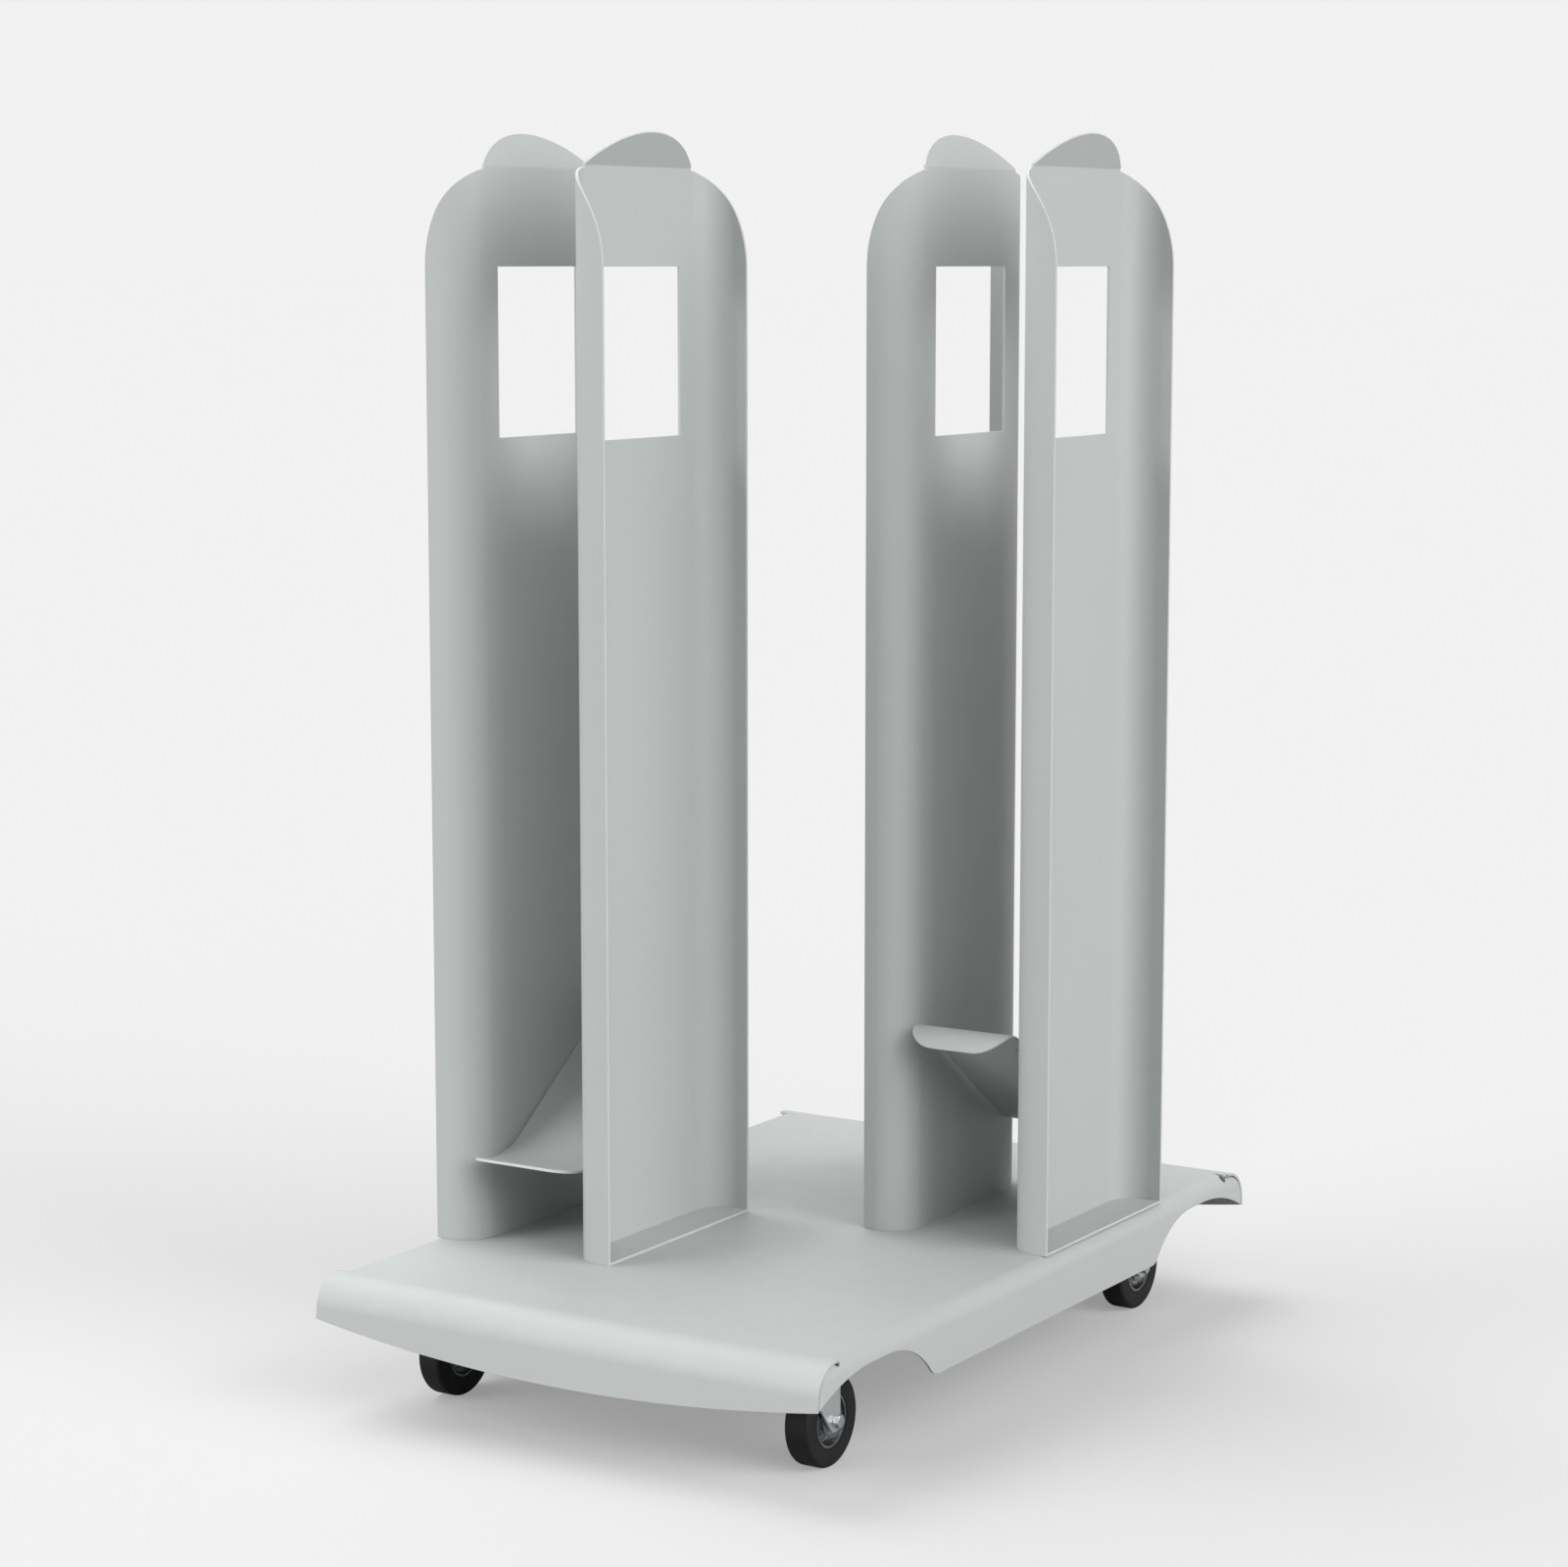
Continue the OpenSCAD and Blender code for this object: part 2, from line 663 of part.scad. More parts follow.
// Casters: drawn for the back right corner, with the pivot at the origin and the axle towards -y

module at_corner(sx, sy) {
    mirror([sx < 0 ? 1 : 0, 0, 0]) mirror([0, sy < 0 ? 1 : 0, 0])
        translate([caster_x, caster_y, 0]) children();
}

module at_all_corners() { for (c = CORNERS) at_corner(c[1], c[2]) children(); }

module at_plate_holes() {
    for (x = [-1, 1], y = [-1, 1]) translate([x * hole_x / 2, y * hole_y / 2, 0]) children();
}

module weld_nuts() {
    color(ZINC) at_all_corners() at_plate_holes() translate([0, 0, plate_top + cross_t])
        nut(hex_r, stud_r + thread_clear, hex_h);
}

module caster_bolts() {
    color(ZINC) at_all_corners() at_plate_holes() translate([0, 0, plate_low - hex_h]) {
        hexagon(hex_r, hex_h);
        cylinder(r = stud_r, h = hex_h + plate_bolt_l);
    }
}

module kingpin_nuts() {
    color(ZINC) at_all_corners() translate([0, 0, plate_top])
        nut(kingpin_hex_r, kingpin_r + thread_clear, kingpin_nut_h);
}

// Groove for the balls, as a solid ring
module ball_groove() {
    translate([0, 0, ball_z]) rotate_extrude() translate([ball_circle_r, 0]) circle(ball_r + ball_clear);
}

module plate() {
    inner_x = plate_x / 2 - plate_corner_r;
    inner_y = plate_y / 2 - plate_corner_r;
    color(ZINC) difference() {
        union() {
            translate([0, 0, plate_low]) linear_extrude(plate_t) {
                square([plate_x, 2 * inner_y], center = true);
                square([2 * inner_x, plate_y], center = true);
                for (x = [-1, 1], y = [-1, 1])
                    translate([x * inner_x, y * inner_y]) circle(plate_corner_r);
            }
            translate([0, 0, ball_z + race_split]) ring(race_in_r, race_out_r, plate_low - ball_z - race_split);
            translate([0, 0, crown_top + fork_t + cup_gap])
                ring(cup_in_r, cup_in_r + cup_t, swivel_h - fork_t - cup_gap);
        }
        ball_groove();
        translate([0, 0, plate_low - EPS]) {
            cylinder(r = kingpin_r + run_clear, h = plate_t + 2 * EPS);
            at_plate_holes() cylinder(r = stud_r + bolt_clear, h = plate_t + 2 * EPS);
        }
    }
}

module balls() {
    color(STEEL) for (i = [0 : balls_n - 1]) rotate([0, 0, 360 * i / balls_n])
        translate([ball_circle_r, 0, ball_z]) sphere(ball_r, $fn = 32);
}

module kingpin() {
    low = crown_low - ball_clear;
    color(STEEL) {
        translate([0, 0, low - kingpin_head_h]) cylinder(r = kingpin_head_r, h = kingpin_head_h);
        translate([0, 0, low - EPS]) cylinder(r = kingpin_r, h = plate_top + kingpin_nut_h + 2 * EPS - low);
    }
}

// Upside-down channel in X and Z with bent edges
module fork_section() {
    top = crown_top;
    low = axle_z - leg_tip_r - EPS;
    translate([fork_r - fork_out, top - fork_t]) square([2 * (fork_out - fork_r), fork_t]);
    for (s = [0, 1]) mirror([s, 0]) {
        translate([fork_out - fork_r, top - fork_r]) sector(fork_r - fork_t, fork_r, 0, 90);
        translate([fork_in, low]) square([fork_t, top - fork_r - low]);
    }
}

// Side view of a fork in Y and Z
module fork_side() {
    back_y = -trail - leg_back;
    polygon([[back_y, crown_top + EPS], [crown_front, crown_top + EPS], [crown_front, crown_top], leg_front,
        [-trail, axle_z], [back_y, axle_z]]);
    intersection() {
        translate([-trail, axle_z]) circle(leg_tip_r);
        translate([back_y, axle_z - leg_tip_r]) square([leg_back + leg_tip_r, leg_tip_r]);
    }
}

module fork() {
    color(POWDER) difference() {
        union() {
            intersection() {
                along_y(4 * trail) fork_section();
                along_x(2 * fork_out + EPS) fork_side();
            }
            translate([0, 0, crown_top]) {
                ring(race_in_r, race_out_r + cup_gap + cup_t, fork_t);
                ring(race_in_r, race_out_r, swivel_h / 2 - race_split);
            }
        }
        ball_groove();
        translate([0, 0, crown_low - EPS]) cylinder(r = kingpin_r + run_clear, h = fork_t + 2 * EPS);
        translate([0, -trail, axle_z]) rotate([0, 90, 0])
            cylinder(r = stud_r + thread_clear, h = 4 * fork_out, center = true);
    }
}

// Pieces on the axle are drawn about the Z axis and turned to lie across the cart
module on_axle() { translate([0, -trail, axle_z]) rotate([0, 90, 0]) children(); }

module axle_bolt() {
    color(ZINC) on_axle() {
        translate([0, 0, fork_out]) hexagon(hex_r, hex_h);
        translate([0, 0, -fork_out - hex_h - EPS]) cylinder(r = stud_r, h = 2 * fork_out + hex_h + 2 * EPS);
    }
}

module axle_nut() {
    color(ZINC) on_axle() translate([0, 0, -fork_out - hex_h]) nut(hex_r, stud_r + thread_clear, hex_h);
}

module sleeve() {
    color(STEEL) on_axle() translate([0, 0, run_clear - fork_in])
        ring(stud_r + thread_clear, sleeve_r, 2 * (fork_in - run_clear));
}

// The same shape at both faces of a wheel
module both_faces() {
    children();
    mirror([0, 0, 1]) children();
}

module bearings() {
    shield_in = sleeve_r + (bearing_r - sleeve_r) / 4;
    shield_out = bearing_r - (bearing_r - sleeve_r) / 4;
    color(STEEL) on_axle() both_faces() translate([0, 0, wheel_w / 2 - bearing_w]) difference() {
        ring(sleeve_r + run_clear, bearing_r, bearing_w);
        translate([0, 0, bearing_w - bearing_recess]) ring(shield_in, shield_out, bearing_recess + EPS);
    }
}

module rim() {
    color(STEEL) on_axle() rotate_extrude() {
        translate([rim_r - rim_band_t, -rim_w / 2]) square([rim_band_t, rim_w]);
        translate([bearing_r, -rim_disc_t / 2]) square([rim_r - rim_band_t - bearing_r, rim_disc_t]);
        translate([bearing_r, -wheel_w / 2]) square([hub_r - bearing_r, wheel_w]);
        translate([hub_bore_r, bearing_w - wheel_w / 2])
            square([bearing_r - hub_bore_r, wheel_w - 2 * bearing_w]);
    }
}

module tyre() {
    side = wheel_w / 2;
    color(RUBBER) on_axle() rotate_extrude() polygon([
        [rim_r, -side], [axle_z - tyre_bevel, -side], [axle_z, tyre_bevel - side],
        [axle_z, side - tyre_bevel], [axle_z - tyre_bevel, side], [rim_r, side]]);
}

deck();
mirror([0, 1, 0]) crossmember();  // front_crossmember
crossmember();  // back_crossmember
in_left_tower() on_outer_side() column();  // left_outer_column
in_left_tower() on_inner_side() column();  // left_inner_column
in_right_tower() on_inner_side() column();  // right_inner_column
in_right_tower() on_outer_side() column();  // right_outer_column
in_left_tower() on_outer_side() foot();  // left_outer_foot
in_left_tower() on_inner_side() foot();  // left_inner_foot
in_right_tower() on_inner_side() foot();  // right_inner_foot
in_right_tower() on_outer_side() foot();  // right_outer_foot
in_left_tower() cradle();  // left_cradle
in_right_tower() cradle();  // right_cradle
foot_studs();
foot_washers();
foot_nuts();
weld_nuts();
caster_bolts();
kingpin_nuts();
for (c = CORNERS) at_corner(c[1], c[2]) {
    plate();
    balls();
    kingpin();
    fork();
    axle_bolt();
    axle_nut();
    sleeve();
    bearings();
    rim();
    tyre();
}
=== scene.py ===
"""Dresses the transport cart and lights it for a studio picture.

Every bent part is cut as a flat blank, laid along its bend path and given its
thickness with softened edges. The classes hold their sizes in millimetres, as
a workshop drawing does, and a mesh is turned into metres when it is made.
"""

import json
import logging
import math
from collections.abc import Callable, Iterable, Sequence
from dataclasses import dataclass, field
from enum import Enum

import bmesh
import bpy
from mathutils import Matrix, Vector
from mathutils.geometry import delaunay_2d_cdt

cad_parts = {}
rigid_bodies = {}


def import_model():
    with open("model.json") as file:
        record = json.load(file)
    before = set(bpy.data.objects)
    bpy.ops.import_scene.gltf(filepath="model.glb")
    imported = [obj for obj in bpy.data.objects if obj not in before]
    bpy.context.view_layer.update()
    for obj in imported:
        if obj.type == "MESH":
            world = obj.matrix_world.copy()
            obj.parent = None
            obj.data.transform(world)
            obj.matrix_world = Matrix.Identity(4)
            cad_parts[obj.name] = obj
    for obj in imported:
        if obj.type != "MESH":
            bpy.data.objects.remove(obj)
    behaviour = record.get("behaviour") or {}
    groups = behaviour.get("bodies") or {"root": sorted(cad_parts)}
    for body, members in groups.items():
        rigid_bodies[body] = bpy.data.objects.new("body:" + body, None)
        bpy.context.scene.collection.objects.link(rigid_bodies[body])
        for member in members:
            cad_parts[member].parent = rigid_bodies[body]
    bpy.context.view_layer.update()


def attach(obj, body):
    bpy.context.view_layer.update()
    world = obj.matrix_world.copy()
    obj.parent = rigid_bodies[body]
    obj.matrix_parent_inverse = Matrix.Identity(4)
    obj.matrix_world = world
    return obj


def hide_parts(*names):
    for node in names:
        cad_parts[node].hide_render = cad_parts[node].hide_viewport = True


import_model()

MM = 0.001
DECK_Z = 150.0
CART = "cart"
CUT_EDGE = "cut_edge"

# Limits of the mesh tools, in degrees or as shares
SHARP_ANGLE = 50.0
MIN_BISECTOR = 0.8
SOFTEN_SHARE = 0.45

# Details of fasteners, in millimetres but for the share and the count
HEX_FACE = 0.96
HEX_DROP = 0.25
HEX_STEPS = 36
THREAD_DEPTH = 0.6
CHAMFER = 0.8
FIT = 0.05

# Ranges and shares in the finishes' patterns
MID_NOISE = (0.3, 0.7)
ROUGH_SCALE = 12
RING_SHARE = 0.7

log = logging.getLogger("transport_cart")

Flat = tuple[float, float]
Triple = tuple[float, float, float]
Quad = tuple[float, float, float, float]
Solid = bmesh.types.BMesh
Nodes = bpy.types.NodeTree
Socket = bpy.types.NodeSocket
Rings = tuple[list[Vector], list[list[int]]]
Bend = Callable[[float, float, float], Vector]


class Corner(Enum):
    """The cart's corners, each with the signs of its X and Y."""

    FRONT_LEFT = (-1, -1)
    FRONT_RIGHT = (1, -1)
    BACK_LEFT = (-1, 1)
    BACK_RIGHT = (1, 1)

    @property
    def key(self) -> str:
        """Name of the corner as the cart's nodes and bodies spell it."""
        return self.name.lower()


class Stand(Enum):
    """The four columns, each with its slot face's X, its Y sign and its turn in degrees."""

    LEFT_OUTER = (-256.0, -1, 180.0)
    LEFT_INNER = (-127.0, -1, 0.0)
    RIGHT_INNER = (127.0, 1, 180.0)
    RIGHT_OUTER = (256.0, 1, 0.0)

    @property
    def key(self) -> str:
        """Name of the column's place as the cart's nodes spell it."""
        return self.name.lower()

    def matrix(self, tower_y: float) -> Matrix:
        """Place of a column, in millimetres.

        Args:
            tower_y: Distance from the cart's middle along to a tower's middle.

        Returns:
            The matrix from the column's own frame to the cart's.
        """
        slot_x, sign, turn = self.value
        turned = Matrix.Rotation(math.radians(turn), 4, "Z")
        return Matrix.Translation((slot_x, sign * tower_y, 0)) @ turned


class Path:
    """Middle line of a bent sheet in a plane, made of straights and turns."""

    def __init__(self, start: Flat, heading: float) -> None:
        """Starts the path.

        Args:
            start: First point of the line.
            heading: Direction of the first straight, in degrees from the plane's first axis.
        """
        self.parts: list[tuple[float, Vector, float, float]] = []
        self.end = Vector(start)
        self.heading = math.radians(heading)
        self.length = 0.0

    def straight(self, length: float) -> "Path":
        """Adds a straight of the given length and returns the path."""
        return self._add(length, 0.0)

    def turn(self, radius: float, degrees: float) -> "Path":
        """Adds a turn, to the left where the degrees are positive, and returns the path."""
        return self._add(radius * math.radians(abs(degrees)), math.copysign(1 / radius, degrees))

    def _add(self, length: float, curve: float) -> "Path":
        """Adds a part of constant curvature.

        Args:
            length: Its length.
            curve: Its curvature, positive to the left.

        Returns:
            The path.
        """
        self.parts.append((self.length, self.end.copy(), self.heading, curve))
        self.length += length
        self.end = self.at(self.length)[0]
        self.heading += length * curve
        return self

    def at(self, s: float) -> tuple[Vector, Vector]:
        """Finds a point of the line.

        Args:
            s: Distance along the line from its start.

        Returns:
            The point, and the unit normal on the line's left.
        """
        from_s, point, heading, curve = next(
            (part for part in reversed(self.parts) if part[0] <= s), self.parts[0])
        run = s - from_s
        turned = heading + run * curve
        if curve:
            step = Vector((math.sin(turned) - math.sin(heading),
                           math.cos(heading) - math.cos(turned))) / curve
        else:
            step = run * Vector((math.cos(heading), math.sin(heading)))
        return point + step, Vector((-math.sin(turned), math.cos(turned)))

    def beside(self, s: float, w: float) -> Vector:
        """Finds the point that lies beside the line.

        Args:
            s: Distance along the line from its start.
            w: Distance from the line to its left.

        Returns:
            The point.
        """
        point, normal = self.at(s)
        return point + w * normal

    def bend_lines(self, step: float) -> list[float]:
        """Lists where the turns are divided.

        Args:
            step: Largest angle between two of the lines, in degrees.

        Returns:
            Distances along the line, the ends of each turn included.
        """
        stops: list[float] = []
        ends = [part[0] for part in self.parts[1:]] + [self.length]
        for (from_s, _, _, curve), to_s in zip(self.parts, ends):
            if curve:
                n = math.ceil(math.degrees((to_s - from_s) * abs(curve)) / step)
                stops += [from_s + (to_s - from_s) * i / n for i in range(n + 1)]
        return stops


def arc(mid: Flat, radius: float, from_a: float, to_a: float, n: int) -> list[Flat]:
    """Points on an arc.

    Args:
        mid: The arc's centre.
        radius: Its radius.
        from_a: Its first angle in degrees.
        to_a: Its last angle in degrees.
        n: Number of chords.

    Returns:
        The points, both ends included.
    """
    angles = (math.radians(from_a + (to_a - from_a) * i / n) for i in range(n + 1))
    return [(mid[0] + radius * math.cos(a), mid[1] + radius * math.sin(a)) for a in angles]


def flipped(points: Sequence[Flat], first: bool = False) -> list[Flat]:
    """Mirrors points and reverses their order, which closes half of an outline.

    Args:
        points: The points.
        first: Whether the first axis changes its sign, and not the second.

    Returns:
        The mirrored points.
    """
    return [(-x, y) if first else (x, -y) for x, y in reversed(points)]


def four(mid: Flat, wide: float, deep: float) -> list[Flat]:
    """Lists the corners of a rectangle with its middle at mid."""
    return [(mid[0] + i * wide / 2, mid[1] + j * deep / 2) for i in (-1, 1) for j in (-1, 1)]


def holds(loop: Sequence[Flat], point: Vector) -> bool:
    """Tells whether a closed outline holds a point.

    Args:
        loop: The outline's points.
        point: The point.

    Returns:
        True where the point is inside.
    """
    inside = False
    for (ax, ay), (bx, by) in zip(loop, list(loop[1:]) + [loop[0]]):
        if (ay > point.y) != (by > point.y) and point.x < ax + (bx - ax) * (point.y - ay) / (by - ay):
            inside = not inside
    return inside


@dataclass
class Blank:
    """A flat cut of sheet, divided along the lines at which it bends."""

    outline: list[Flat]
    holes: list[list[Flat]] = field(default_factory=list)
    lines: list[tuple[Flat, Flat]] = field(default_factory=list)

    def cells(self) -> Rings:
        """Divides the blank.

        Returns:
            The points of the plane, and the cells as rings of their indices.
        """
        sides = zip(self.outline, self.outline[1:] + self.outline[:1])
        area = sum(a[0] * b[1] - b[0] * a[1] for a, b in sides)
        outline = self.outline if area > 0 else self.outline[::-1]
        points = [Vector(p) for p in outline]
        edges: list[tuple[int, int]] = []
        for hole in self.holes:
            first = len(points)
            points += [Vector(p) for p in hole]
            edges += [(first + i, first + (i + 1) % len(hole)) for i in range(len(hole))]
        for line in self.lines:
            edges.append((len(points), len(points) + 1))
            points += [Vector(p) for p in line]
        flat = delaunay_2d_cdt(points, edges, [list(range(len(outline)))], 4, 1e-4)
        cells = []
        for ring, source in zip(flat[2], flat[5]):
            sides = [(flat[0][ring[i - 1]], flat[0][ring[i]]) for i in range(len(ring))]
            a, b = max(sides, key=lambda ends: (ends[1] - ends[0]).length)
            side = (a + b) / 2 + 1e-3 * Vector((a.y - b.y, b.x - a.x)).normalized()
            if source and holds(outline, side) and not any(holds(hole, side) for hole in self.holes):
                cells.append(list(ring))
        return list(flat[0]), cells


@dataclass
class Sheet:
    """Sheet metal of one thickness whose cut edges are slightly rounded."""

    thickness: float = 3.0
    rounding: float = 0.45
    steps: int = 2

    def solid(self, patches: Iterable[tuple[Blank, Bend]]) -> Solid:
        """Gives blanks their thickness and their place.

        Args:
            patches: Blanks with the function that takes a point of the blank, and its distance
                from the sheet's middle, to its place. Blanks that share a border are joined there.

        Returns:
            The closed solid, with its cut edges marked.
        """
        points: list[tuple[Vector, Bend]] = []
        rings: list[list[int]] = []
        seen: dict[tuple[int, ...], int] = {}
        for blank, place in patches:
            flat, cells = blank.cells()
            index = {}
            for cell in cells:
                for i in cell:
                    if i not in index:
                        spot = tuple(round(c * 1000) for c in place(flat[i].x, flat[i].y, 0))
                        if spot not in seen:
                            seen[spot] = len(points)
                            points.append((flat[i], place))
                        index[i] = seen[spot]
                rings.append([index[i] for i in cell])
        return self._thicken(points, rings)

    def _thicken(self, points: list[tuple[Vector, Bend]], rings: list[list[int]]) -> Solid:
        """Builds both faces and the rounded border of a divided surface.

        Args:
            points: Points of the blanks with the functions that place them.
            rings: The cells, as rings of the points' indices.

        Returns:
            The closed solid.
        """
        sides = {(ring[i - 1], ring[i]) for ring in rings for i in range(len(ring))}
        border = {a: b for a, b in sides if (b, a) not in sides}
        before = {b: a for a, b in border.items()}
        bm = bmesh.new()
        mark = bm.faces.layers.bool.new(CUT_EDGE)
        half, soft = self.thickness / 2, self.rounding
        turns = [math.pi / 2 * i / self.steps for i in range(self.steps + 1)]
        layers = [(soft * (1 - math.sin(a)), half - soft * (1 - math.cos(a))) for a in turns]
        layers += [(inset, -w) for inset, w in reversed(layers)]

        def vertex(i: int, inset: float, w: float) -> bmesh.types.BMVert:
            """Makes the vertex of a point.

            Args:
                i: Index of the point.
                inset: Distance to move it in, where it is on the border.
                w: Distance from the sheet's middle.

            Returns:
                The vertex.
            """
            flat, place = points[i]
            spot = flat
            if i in border:
                into = (flat - points[before[i]][0]).normalized()
                out = (points[border[i]][0] - flat).normalized()
                bisector = Vector((-into.y - out.y, into.x + out.x))
                spot = flat + bisector * (2 * inset / max(bisector.length_squared, MIN_BISECTOR))
            return bm.verts.new(place(spot.x, spot.y, w))

        faces = [[vertex(i, soft, w) for i in range(len(points))] for w in (half, -half)]
        for ring in rings:
            bm.faces.new([faces[0][i] for i in ring])
            bm.faces.new([faces[1][i] for i in reversed(ring)])
        stacks = {i: [faces[0][i], *(vertex(i, *layer) for layer in layers[1:-1]), faces[1][i]]
                  for i in border}
        for a, b in border.items():
            for k in range(len(layers) - 1):
                side = bm.faces.new([stacks[a][k], stacks[a][k + 1], stacks[b][k + 1], stacks[b][k]])
                side[mark] = True
        bmesh.ops.recalc_face_normals(bm, faces=bm.faces)
        return bm


def revolved(outlines: Sequence[Sequence[Flat]], first: int = 0) -> Solid:
    """Joins outlines that stand at even steps round the Z axis.

    Args:
        outlines: The outlines, each as points of radius and height.
        first: 0 where they are closed, or 1 where their ends lie on the axis.

    Returns:
        The closed solid, with its faces turned outwards.
    """
    bm = bmesh.new()
    rows = []
    for k, outline in enumerate(outlines):
        a = math.tau * k / len(outlines)
        rows.append([bm.verts.new((r * math.cos(a), r * math.sin(a), z)) for r, z in outline])
    for k in range(len(rows)):
        for i in range(first, len(rows[0])):
            bm.faces.new([rows[k - 1][i - 1], rows[k][i - 1], rows[k][i], rows[k - 1][i]])
    bmesh.ops.remove_doubles(bm, verts=bm.verts, dist=1e-4)
    bmesh.ops.dissolve_degenerate(bm, edges=bm.edges, dist=1e-4)
    bmesh.ops.delete(bm, geom=[edge for edge in bm.edges if not edge.link_faces], context="EDGES")
    bmesh.ops.recalc_face_normals(bm, faces=bm.faces)
    return bm


def lathe(profile: Sequence[Flat], segments: int = 64, soften: float = 0.0) -> Solid:
    """Turns a closed profile about the Z axis.

    Args:
        profile: Points as radius and height, in a round.
        segments: Number of steps round the axis.
        soften: Radius that rounds the profile's corners off the axis.

    Returns:
        The closed solid.
    """
    points: list[Flat] = []
    for i, (r, z) in enumerate(profile):
        spot, back = Vector((r, z)), Vector(profile[i - 1])
        on = Vector(profile[(i + 1) % len(profile)])
        if soften and r > 1e-6:
            cut = min(soften, (back - spot).length * SOFTEN_SHARE, (on - spot).length * SOFTEN_SHARE)
            first = spot + cut * (back - spot).normalized()
            last = spot + cut * (on - spot).normalized()
            points += [tuple(first), tuple((first + last + 2 * spot) / 4), tuple(last)]
        else:
            points.append((r, z))
    return revolved([points] * segments)


def hexagon(flats: float, height: float, bore: float, base: float = 0.0) -> Solid:
    """Builds a nut, or a bolt's head, with its corners chamfered.

    Args:
        flats: Distance across the flats.
        height: Height of the piece.
        bore: Radius of the hole through it, or 0 for a head.
        base: Height of its lower face.

    Returns:
        The closed solid about the Z axis.
    """
    inner, face = flats / 2, flats / 2 * HEX_FACE
    outlines = []
    for k in range(HEX_STEPS):
        outer = inner / math.cos((math.tau * k / HEX_STEPS + math.pi / 6) % (math.pi / 3) - math.pi / 6)
        drop = HEX_DROP + (outer - inner) * math.tan(math.radians(30))
        spots = [(face, 0.0), (outer, drop), (outer, height - drop), (face, height)]
        if bore:
            lead = min(0.5, (face - bore) / 3)
            spots += [(bore + lead, height), (bore, height - lead), (bore, lead), (bore + lead, 0.0)]
        else:
            spots = [(0.0, 0.0)] + spots + [(0.0, height)]
        outlines.append([(r, base + z) for r, z in spots])
    return revolved(outlines, 0 if bore else 1)


def threaded(radius: float, low: float, high: float, pitch: float = 1.25) -> list[Flat]:
    """Profile of a threaded shank.

    Args:
        radius: Outer radius of the thread.
        low: Height of its first turn.
        high: Height of its last turn.
        pitch: Height of one turn.

    Returns:
        Points as radius and height, from the low end up.
    """
    n = max(2, round((high - low) / pitch))
    step = (high - low) / n
    points: list[Flat] = []
    for i in range(n):
        points += [(radius - THREAD_DEPTH, low + i * step), (radius, low + (i + 0.5) * step)]
    return points + [(radius - THREAD_DEPTH, high)]


def joined(*parts: Solid) -> Solid:
    """Puts several solids into one mesh.

    Args:
        parts: The solids, all but the first of which are used up.

    Returns:
        The first one with the rest in it.
    """
    whole = parts[0]
    for part in parts[1:]:
        mesh = bpy.data.meshes.new("join")
        part.to_mesh(mesh)
        part.free()
        whole.from_mesh(mesh)
        bpy.data.meshes.remove(mesh)
    return whole


def plug(tree: Nodes, node: bpy.types.Node, **inputs: object) -> None:
    """Sets inputs of a node.

    Args:
        tree: The node's tree.
        node: The node.
        inputs: The inputs by name, with _ for a space, each a value or a socket.
    """
    for label, value in inputs.items():
        slot = node.inputs[label.replace("_", " ")]
        if isinstance(value, Socket):
            tree.links.new(value, slot)
        else:
            slot.default_value = value


def add_node(tree: Nodes, kind: str, setup: dict[str, str] | None = None,
             **inputs: object) -> bpy.types.Node:
    """Adds a node.

    Args:
        tree: Tree that it goes into.
        kind: The node's type.
        setup: Its settings by name.
        inputs: Its inputs by name, as plug takes them.

    Returns:
        The node.
    """
    made = tree.nodes.new(kind)
    for label, value in (setup or {}).items():
        setattr(made, label, value)
    plug(tree, made, **inputs)
    return made


def mixed(tree: Nodes, share: float | Socket,
          first: Socket, second: Socket) -> Socket:
    """Mixes two shaders.

    Args:
        tree: Their tree.
        share: The second one's share.
        first: The first shader.
        second: The second shader.

    Returns:
        The mix.
    """
    node = add_node(tree, "ShaderNodeMixShader", Fac=share)
    tree.links.new(first, node.inputs[1])
    tree.links.new(second, node.inputs[2])
    return node.outputs[0]


class Field:
    """A number inside a node tree, which ordinary arithmetic combines."""

    def __init__(self, tree: Nodes, socket: Socket) -> None:
        """Wraps a socket of a tree."""
        self.tree = tree
        self.socket = socket

    def math(self, operation: str, *others: "Field | float") -> "Field":
        """Adds a Math node.

        Args:
            operation: The node's operation.
            others: Its other inputs.

        Returns:
            The node's result.
        """
        node = add_node(self.tree, "ShaderNodeMath", {"operation": operation})
        self.tree.links.new(self.socket, node.inputs[0])
        for slot, other in zip(node.inputs[1:], others):
            if isinstance(other, Field):
                self.tree.links.new(other.socket, slot)
            else:
                slot.default_value = other
        return Field(self.tree, node.outputs[0])

    def __add__(self, other: "Field | float") -> "Field":
        """Adds."""
        return self.math("ADD", other)

    def __sub__(self, other: "Field | float") -> "Field":
        """Subtracts."""
        return self.math("SUBTRACT", other)

    def __mul__(self, other: "Field | float") -> "Field":
        """Multiplies."""
        return self.math("MULTIPLY", other)

    def __truediv__(self, other: "Field | float") -> "Field":
        """Divides."""
        return self.math("DIVIDE", other)

    def clamped(self, high: "Field | float") -> "Field":
        """Keeps the number between 0 and a high limit."""
        return self.math("MAXIMUM", 0.0).math("MINIMUM", high)


